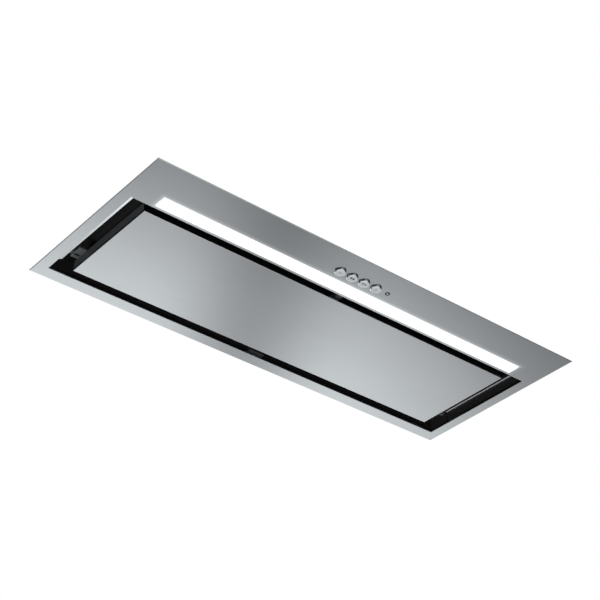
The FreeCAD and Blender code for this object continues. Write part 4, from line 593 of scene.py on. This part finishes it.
def diamond_layer(low, high, height, shift, sizes):
    """One layer of diamond mesh at a height, shifted along X and cut to a window."""
    middle = (low + high) / 2
    reach = (high - low).length / 2
    count = int(2 * reach / sizes.mesh_pitch)
    layer = bmesh.new()
    bmesh.ops.create_grid(layer, x_segments=count, y_segments=count, size=reach)
    bmesh.ops.rotate(layer, verts=layer.verts[:], cent=(0, 0, 0), matrix=Matrix.Rotation(math.pi / 4, 3, "Z"))
    bmesh.ops.scale(layer, verts=layer.verts[:], vec=DIAMOND_STRETCH)
    bmesh.ops.translate(layer, verts=layer.verts[:], vec=(middle.x + shift, middle.y, height))
    for point, normal in ((low, (-1, 0, 0)), (low, (0, -1, 0)), (high, (1, 0, 0)), (high, (0, 1, 0))):
        bmesh.ops.bisect_plane(layer, geom=layer.verts[:] + layer.edges[:] + layer.faces[:], plane_co=point,
                               plane_no=normal, clear_outer=True)
    bmesh.ops.wireframe(layer, faces=layer.faces[:], thickness=sizes.mesh_strand / 2, use_replace=True,
                        use_boundary=True, use_even_offset=False)
    return layer


def expanded_mesh(node, sizes):
    """Layers of diamond mesh that fill the height of a filter's mesh, each shifted from the last."""
    low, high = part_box(node)
    spacing = (high.z - low.z - sizes.mesh_strand) / max(1, sizes.mesh_layers - 1)
    shape = bmesh.new()
    for number in range(sizes.mesh_layers):
        height = low.z + sizes.mesh_strand / 2 + spacing * number
        layer = diamond_layer(low, high, height, sizes.mesh_pitch * LAYER_SHIFT * number, sizes)
        scratch = bpy.data.meshes.new("mesh_layer")
        layer.to_mesh(scratch)
        layer.free()
        shape.from_mesh(scratch)
        bpy.data.meshes.remove(scratch)
    return shape


class HOOD_OT_face(bpy.types.Operator):
    """Finishes the frame, the panel, the light strip and the indicator"""
    bl_idname = "hood.face"
    bl_label = "Frame and panel"

    def execute(self, context):
        hood = context.scene.hood
        dress(brushed_stainless(hood), "face_plate", "panel_skin")
        dress(lit_opal(hood), "light_diffuser")
        dress(clear_lens(hood), "indicator_lens")
        extrusion = plain_metal("extruded_aluminium", hood.colours.aluminium, roughness=0.35,
                                grain_size=(50 * MM, 0.8 * MM, 0.8 * MM))
        dress(extrusion, "light_channel")
        return {"FINISHED"}


class HOOD_OT_body(bpy.types.Operator):
    """Finishes the body, the hinge, the clips and the fasteners"""
    bl_idname = "hood.body"
    bl_label = "Body"

    def execute(self, context):
        hood = context.scene.hood
        colours = hood.colours
        dress(coated_steel("black_powder_coat", hood, colours.powder_coat), "body_wrap", "body_end_left",
              "body_end_right", "bay_divider", "filter_tray", "hinge_bracket_left", "hinge_bracket_right")
        dress(coated_steel("graphite_powder_coat", hood, colours.graphite), "panel_liner")
        dress(coated_steel("phosphated_steel", hood, colours.phosphate), "hinge_arm_left", "hinge_arm_right",
              "hinge_pins")
        dress(strip_with_bare_edge_and_sheen(hood), "side_rail_left", "side_rail_right")
        spring = plain_metal("rolled_spring_steel", colours.spring_steel, roughness=0.32,
                             grain_size=(20 * MM, 0.8 * MM, 20 * MM))
        dress(spring, "spring_clips")
        plating = plain_metal("bright_zinc_plating", colours.bright_zinc, roughness=0.28,
                              grain_size=[1 * MM] * 3)
        dress(plating, "plate_nuts", "rivets", "panel_rivets", "screws", "motor_shaft", "flap_pins")
        rubber = moulded_plastic("vulcanised_rubber", hood, colours.rubber, roughness=0.75)
        dress(rubber, "stop_buffer", "motor_lead")
        return {"FINISHED"}


class HOOD_OT_blower(bpy.types.Operator):
    """Finishes the blower housing, the scroll, the motor and the flaps"""
    bl_idname = "hood.blower"
    bl_label = "Blower"

    def execute(self, context):
        hood = context.scene.hood
        colours = hood.colours
        dress(galvanised_sheet(hood), "housing_wrap", "housing_end_left", "housing_end_right", "motor_spider")
        pale = moulded_plastic("moulded_polypropylene", hood, colours.pale_plastic, roughness=0.45)
        dress(pale, "scroll_left", "scroll_right", "impeller")
        dark = moulded_plastic("moulded_flap_plastic", hood, colours.flap_plastic, roughness=0.5)
        dress(dark, "flap_front", "flap_back")
        paint = plain_metal("grey_motor_paint", colours.motor_paint, roughness=0.4, grain_size=[1 * MM] * 3)
        dress(paint, "motor", "capacitor", "catch_magnet")
        return {"FINISHED"}


class HOOD_OT_electrics(bpy.types.Operator):
    """Finishes the control box, the collar, the switch bank and the circuit boards"""
    bl_idname = "hood.electrics"
    bl_label = "Electrics"

    def execute(self, context):
        hood = context.scene.hood
        casing = moulded_plastic("black_moulded_abs", hood, hood.colours.black_plastic, roughness=0.45)
        dress(casing, "light_caps", "switch_bank", "catch_holder", "outlet_collar", "control_box",
              "control_lid", "cable_gland")
        dress(circuit_board(hood), "light_board", "switch_board", "main_board")
        return {"FINISHED"}


class HOOD_OT_buttons(bpy.types.Operator):
    """Makes the four push buttons with their small marks, and the ring round the indicator"""
    bl_idname = "hood.buttons"
    bl_label = "Buttons"

    def execute(self, context):
        hood = context.scene.hood
        sizes = hood.sizes
        finishes = [chrome_plate(hood), satin_lacquer(hood)]
        bold_ink = moulded_plastic("dark_print", hood, hood.colours.black_print, roughness=0.5)
        faint_ink = moulded_plastic("grey_print", hood, hood.colours.grey_print, roughness=0.5)
        for number, (node, blocks) in enumerate(MARK_BLOCKS.items(), start=1):
            ink = bold_ink if node in BOLD_MARKS else faint_ink
            hood_piece("cap_%d" % number, turned_button(node, sizes), finishes, node, [node])
            hood_piece("mark_%d" % number, printed_mark(node, blocks, sizes), [ink], node)
        hood_piece("indicator_bezel", turned_bezel(sizes), [bold_ink], "hood")
        return {"FINISHED"}


class HOOD_OT_filters(bpy.types.Operator):
    """Finishes the filter frames and makes their layered mesh"""
    bl_idname = "hood.filters"
    bl_label = "Filters"

    def execute(self, context):
        hood = context.scene.hood
        colours = hood.colours
        frame_metal = plain_metal("drawn_aluminium", colours.aluminium, roughness=0.34,
                                  grain_size=(40 * MM, 0.9 * MM, 0.9 * MM))
        mesh_metal = plain_metal("expanded_aluminium", colours.aluminium, roughness=0.42,
                                 grain_size=[2 * MM] * 3)
        latch = moulded_plastic("moulded_latch_plastic", hood, colours.black_plastic, roughness=0.5)
        for side in ("left", "right"):
            dress(frame_metal, "filter_frame_" + side)
            dress(latch, "filter_latch_" + side)
            node = "filter_mesh_" + side
            hood_piece("mesh_layers_" + side, expanded_mesh(node, hood.sizes), [mesh_metal], "hood",
                       [node])
        return {"FINISHED"}


# Studio: its light changes over these spans, in metres on the backdrop and in cosines round the hood

RIGHT_SPAN = {"From Min": -0.7, "From Max": 0.1}
LOW_SPAN = {"From Min": -1.15, "From Max": -0.45}
HIGH_SPAN = {"From Min": -0.42, "From Max": -0.1}
FLOOR_SPAN = {"From Min": 0.35, "From Max": 0.75}
WINDOW_SPAN = {"From Min": 0.74, "From Max": 0.84}
TABLE_SPAN = {"From Min": -0.74, "From Max": -0.84}
HORIZON_SPAN = {"From Min": -0.25, "From Max": -0.02}
HORIZON_ENDS_SPAN = {"From Min": 0.6, "From Max": 0.85}
SKY_SPAN = {"From Min": -0.02, "From Max": 0.02}


def painted_board(hood):
    """Pale painted upper side of the board, which turns plain white away from the hood."""
    material, tree = start_material("pale_painted_board")
    point = add(tree, "ShaderNodeTexCoord").outputs["Object"]
    distance = add(tree, "ShaderNodeVectorMath", {0: point}, operation="LENGTH")
    fade = add(tree, "ShaderNodeMapRange", {
        "Value": distance.outputs["Value"], "From Min": hood.studio.board_clear,
        "From Max": hood.studio.board_fade}, **SMOOTH)
    path = add(tree, "ShaderNodeLightPath")
    seen = add(tree, "ShaderNodeMath", {0: path.outputs["Is Camera Ray"], 1: path.outputs["Is Glossy Ray"]},
               operation="MAXIMUM")
    share = add(tree, "ShaderNodeMath", {0: fade.outputs["Result"], 1: seen.outputs["Value"]},
                operation="MULTIPLY")
    paint = add(tree, "ShaderNodeBsdfDiffuse", {"Color": rgba(hood.colours.board_paint)})
    white = add(tree, "ShaderNodeEmission", {"Color": WHITE, "Strength": 1.0})
    mixed = add(tree, "ShaderNodeMixShader", {0: share.outputs["Value"], 1: paint.outputs["BSDF"],
                                              2: white.outputs["Emission"]})
    add(tree, "ShaderNodeOutputMaterial", {"Surface": mixed.outputs["Shader"]})
    return material


def white_underside():
    """Underside of the board: plain white in the picture and in reflections."""
    material, tree = start_material("white_board_underside")
    white = add(tree, "ShaderNodeEmission", {"Color": WHITE, "Strength": 1.0})
    add(tree, "ShaderNodeOutputMaterial", {"Surface": white.outputs["Emission"]})
    return material


def backdrop_cloth(studio):
    """Lit cloth: bright at the top, dimmer to the right and below, with one soft dark band."""
    material, tree = start_material("lit_backdrop_cloth")
    point = add(tree, "ShaderNodeTexCoord").outputs["Object"]
    turned = add(tree, "ShaderNodeMapping", {"Vector": point, "Rotation": (0.0, 0.0, -studio.backdrop_turn)})
    parts = add(tree, "ShaderNodeSeparateXYZ", {"Vector": turned.outputs["Vector"]})
    side, height = parts.outputs["Y"], parts.outputs["Z"]
    slanted = add(tree, "ShaderNodeMath", {0: height, 1: -studio.band_slant, 2: side},
                  operation="MULTIPLY_ADD")
    offset = add(tree, "ShaderNodeMath", {0: slanted.outputs["Value"], 1: studio.band_place},
                 operation="SUBTRACT")
    away = add(tree, "ShaderNodeMath", {0: offset.outputs["Value"]}, operation="ABSOLUTE")
    tilted = add(tree, "ShaderNodeMath", {0: side, 1: studio.backdrop_tilt, 2: height},
                 operation="MULTIPLY_ADD")
    band = {"Value": away.outputs["Value"], "From Max": studio.band_reach, "To Min": studio.band_share}
    right = {"Value": side, **RIGHT_SPAN, "To Min": studio.right_share}
    low = {"Value": tilted.outputs["Value"], **LOW_SPAN, "To Min": studio.low_share,
           "To Max": studio.middle_share}
    high = {"Value": height, **HIGH_SPAN, "To Min": 1.0, "To Max": studio.horizon_light}
    light = studio.backdrop_light
    for inputs in (band, right, low, high):
        share = add(tree, "ShaderNodeMapRange", inputs, **SMOOTH).outputs["Result"]
        light = add(tree, "ShaderNodeMath", {0: light, 1: share}, operation="MULTIPLY").outputs["Value"]
    cloth = add(tree, "ShaderNodeEmission", {"Color": WHITE, "Strength": light})
    add(tree, "ShaderNodeOutputMaterial", {"Surface": cloth.outputs["Emission"]})
    return material


def stage_piece(name, shape, material):
    """Object of the studio, which isn't part of the hood."""
    piece = make_object(name, shape, [material])


def cut_board(height, studio):
    """Board in one plane with an opening round the frame's outline."""
    shape = bmesh.new()
    bmesh.ops.create_grid(shape, x_segments=1, y_segments=1, size=studio.board_reach)
    margin = Vector((studio.board_gap, studio.board_gap, 0.0))
    for corner in (PLATE_LOW - margin, PLATE_HIGH + margin):
        for across in ((1, 0, 0), (0, 1, 0)):
            bmesh.ops.bisect_plane(shape, geom=shape.verts[:] + shape.edges[:] + shape.faces[:],
                                   plane_co=corner, plane_no=across)
    opening = min(shape.faces, key=lambda face: face.calc_center_median().length)
    bmesh.ops.delete(shape, geom=[opening], context="FACES")
    bmesh.ops.translate(shape, verts=shape.verts[:], vec=(0.0, 0.0, height))
    return shape


def upright_card(studio):
    """Upright card behind the hood and below it, which faces the hood."""
    shape = bmesh.new()
    card_height = studio.backdrop_high - studio.backdrop_low
    middle = (studio.backdrop_high + studio.backdrop_low) / 2
    upright = Matrix.Rotation(-math.pi / 2, 3, "Y")
    turn = Matrix.Rotation(studio.backdrop_turn, 3, "Z")
    bmesh.ops.create_grid(shape, x_segments=1, y_segments=1, size=0.5)
    bmesh.ops.scale(shape, verts=shape.verts[:], vec=(card_height, studio.backdrop_width, 1.0))
    bmesh.ops.rotate(shape, verts=shape.verts[:], cent=(0, 0, 0), matrix=upright)
    bmesh.ops.translate(shape, verts=shape.verts[:], vec=(studio.backdrop_distance, 0.0, middle))
    bmesh.ops.rotate(shape, verts=shape.verts[:], cent=(0, 0, 0), matrix=turn)
    return shape


def heading(turn):
    """Level direction of a turn seen from above."""
    return math.cos(turn), math.sin(turn), 0.0


def build_world(studio):
    """Studio round the hood, plain white to the camera.

    Below the board lie a bright horizon and a grey floor by the backdrop, a window and a table, and the rest
    is dark. Above the board the light is even.
    """
    world = bpy.data.worlds.new("studio")
    bpy.context.scene.world = world
    world.use_nodes = True
    tree = world.node_tree
    tree.nodes.clear()
    direction = add(tree, "ShaderNodeTexCoord").outputs["Generated"]
    height = add(tree, "ShaderNodeSeparateXYZ", {"Vector": direction}).outputs["Z"]
    to_backdrop = add(tree, "ShaderNodeVectorMath", {0: direction, 1: heading(studio.backdrop_turn)},
                      operation="DOT_PRODUCT").outputs["Value"]
    to_window = add(tree, "ShaderNodeVectorMath", {0: direction, 1: heading(studio.window_turn)},
                    operation="DOT_PRODUCT").outputs["Value"]
    floor = add(tree, "ShaderNodeMapRange", {
        "Value": to_backdrop, **FLOOR_SPAN, "To Min": studio.dark_light,
        "To Max": studio.floor_light}, **SMOOTH)
    window = add(tree, "ShaderNodeMapRange", {
        "Value": to_window, **WINDOW_SPAN, "To Max": studio.window_light}, **SMOOTH)
    table = add(tree, "ShaderNodeMapRange", {
        "Value": height, **TABLE_SPAN, "To Max": studio.table_light}, **SMOOTH)
    lower = floor.outputs["Result"]
    for part in (window, table):
        brighter = add(tree, "ShaderNodeMath", {0: lower, 1: part.outputs["Result"]}, operation="MAXIMUM")
        lower = brighter.outputs["Value"]
    rise = add(tree, "ShaderNodeMapRange", {"Value": height, **HORIZON_SPAN}, **SMOOTH)
    ends = add(tree, "ShaderNodeMapRange", {
        "Value": to_backdrop, **HORIZON_ENDS_SPAN, "To Min": studio.dark_light,
        "To Max": studio.horizon_light}, **SMOOTH)
    below = add(tree, "ShaderNodeMix", {"Factor": rise.outputs["Result"], "A": lower,
                                        "B": ends.outputs["Result"]}, data_type="FLOAT")
    above = add(tree, "ShaderNodeMapRange", {"Value": height, **SKY_SPAN})
    light = add(tree, "ShaderNodeMix", {"Factor": above.outputs["Result"], "A": below.outputs["Result"],
                                        "B": studio.sky_light}, data_type="FLOAT")
    path = add(tree, "ShaderNodeLightPath")
    shown = add(tree, "ShaderNodeMix", {"Factor": path.outputs["Is Camera Ray"], "A": light.outputs["Result"],
                                        "B": 1.0}, data_type="FLOAT")
    background = add(tree, "ShaderNodeBackground", {"Color": WHITE, "Strength": shown.outputs["Result"]})
    add(tree, "ShaderNodeOutputWorld", {"Surface": background.outputs["Background"]})


def area_light(name, spot, aim, size, radiance):
    """Square lamp that faces a point, with the brightness of its surface given."""
    lamp = bpy.data.lights.new(name, "AREA")
    lamp.size = size
    lamp.energy = radiance * math.pi * size * size
    light = bpy.data.objects.new(name, lamp)
    light.location = spot
    light.rotation_euler = (Vector(aim) - Vector(spot)).to_track_quat("-Z", "Y").to_euler()
    bpy.context.scene.collection.objects.link(light)
    return light


def set_camera(scene, studio):
    """Camera that sees the hood as the photograph does."""
    lens = bpy.data.cameras.new("camera")
    lens.sensor_width = studio.camera_sensor
    lens.lens = studio.camera_lens
    lens.shift_x, lens.shift_y = studio.camera_shift
    camera = bpy.data.objects.new("camera", lens)
    camera.location = studio.camera_place
    look = Vector(studio.camera_aim) - Vector(studio.camera_place)
    turn = look.to_track_quat("-Z", "Y") @ Matrix.Rotation(studio.camera_roll, 3, "Z").to_quaternion()
    camera.rotation_euler = turn.to_euler()
    scene.collection.objects.link(camera)
    scene.camera = camera


class HOOD_OT_studio(bpy.types.Operator):
    """Builds the white board, the backdrop, the lights and the camera"""
    bl_idname = "hood.studio"
    bl_label = "Studio"

    def execute(self, context):
        scene = context.scene
        studio = scene.hood.studio
        stage_piece("board_top", cut_board(studio.board_top, studio), painted_board(scene.hood))
        underside = cut_board(studio.board_under, studio)
        bmesh.ops.reverse_faces(underside, faces=underside.faces[:])
        stage_piece("board_under", underside, white_underside())
        build_world(studio)
        stage_piece("backdrop", upright_card(studio), backdrop_cloth(studio))
        lamp = area_light("key_under", studio.under_place, studio.under_aim, studio.under_size,
                          studio.under_light)
        lamp.visible_glossy = False
        area_light("key_over", studio.over_place, studio.over_aim, studio.over_size, studio.over_light)
        set_camera(scene, studio)
        scene.view_settings.view_transform = "Standard"
        return {"FINISHED"}


class HOOD_PT_panel(bpy.types.Panel):
    """Steps that dress the hood"""
    bl_idname = "HOOD_PT_panel"
    bl_label = "Range Hood"
    bl_space_type = "VIEW_3D"
    bl_region_type = "UI"
    bl_category = "Range Hood"

    def draw(self, context):
        for step in STEPS:
            self.layout.operator(step.bl_idname)


STEPS = (HOOD_OT_face, HOOD_OT_body, HOOD_OT_blower, HOOD_OT_electrics, HOOD_OT_buttons, HOOD_OT_filters,
         HOOD_OT_studio)
CLASSES = (HoodColours, HoodSizes, HoodStudio, HoodSettings, *STEPS, HOOD_PT_panel)


def register():
    for kind in CLASSES:
        bpy.utils.register_class(kind)
    bpy.types.Scene.hood = PointerProperty(type=HoodSettings)


def unregister():
    del bpy.types.Scene.hood
    for kind in reversed(CLASSES):
        bpy.utils.unregister_class(kind)


def main():
    register()
    bpy.ops.hood.face()
    bpy.ops.hood.body()
    bpy.ops.hood.blower()
    bpy.ops.hood.electrics()
    bpy.ops.hood.buttons()
    bpy.ops.hood.filters()
    bpy.ops.hood.studio()


if __name__ == "__main__":
    main()
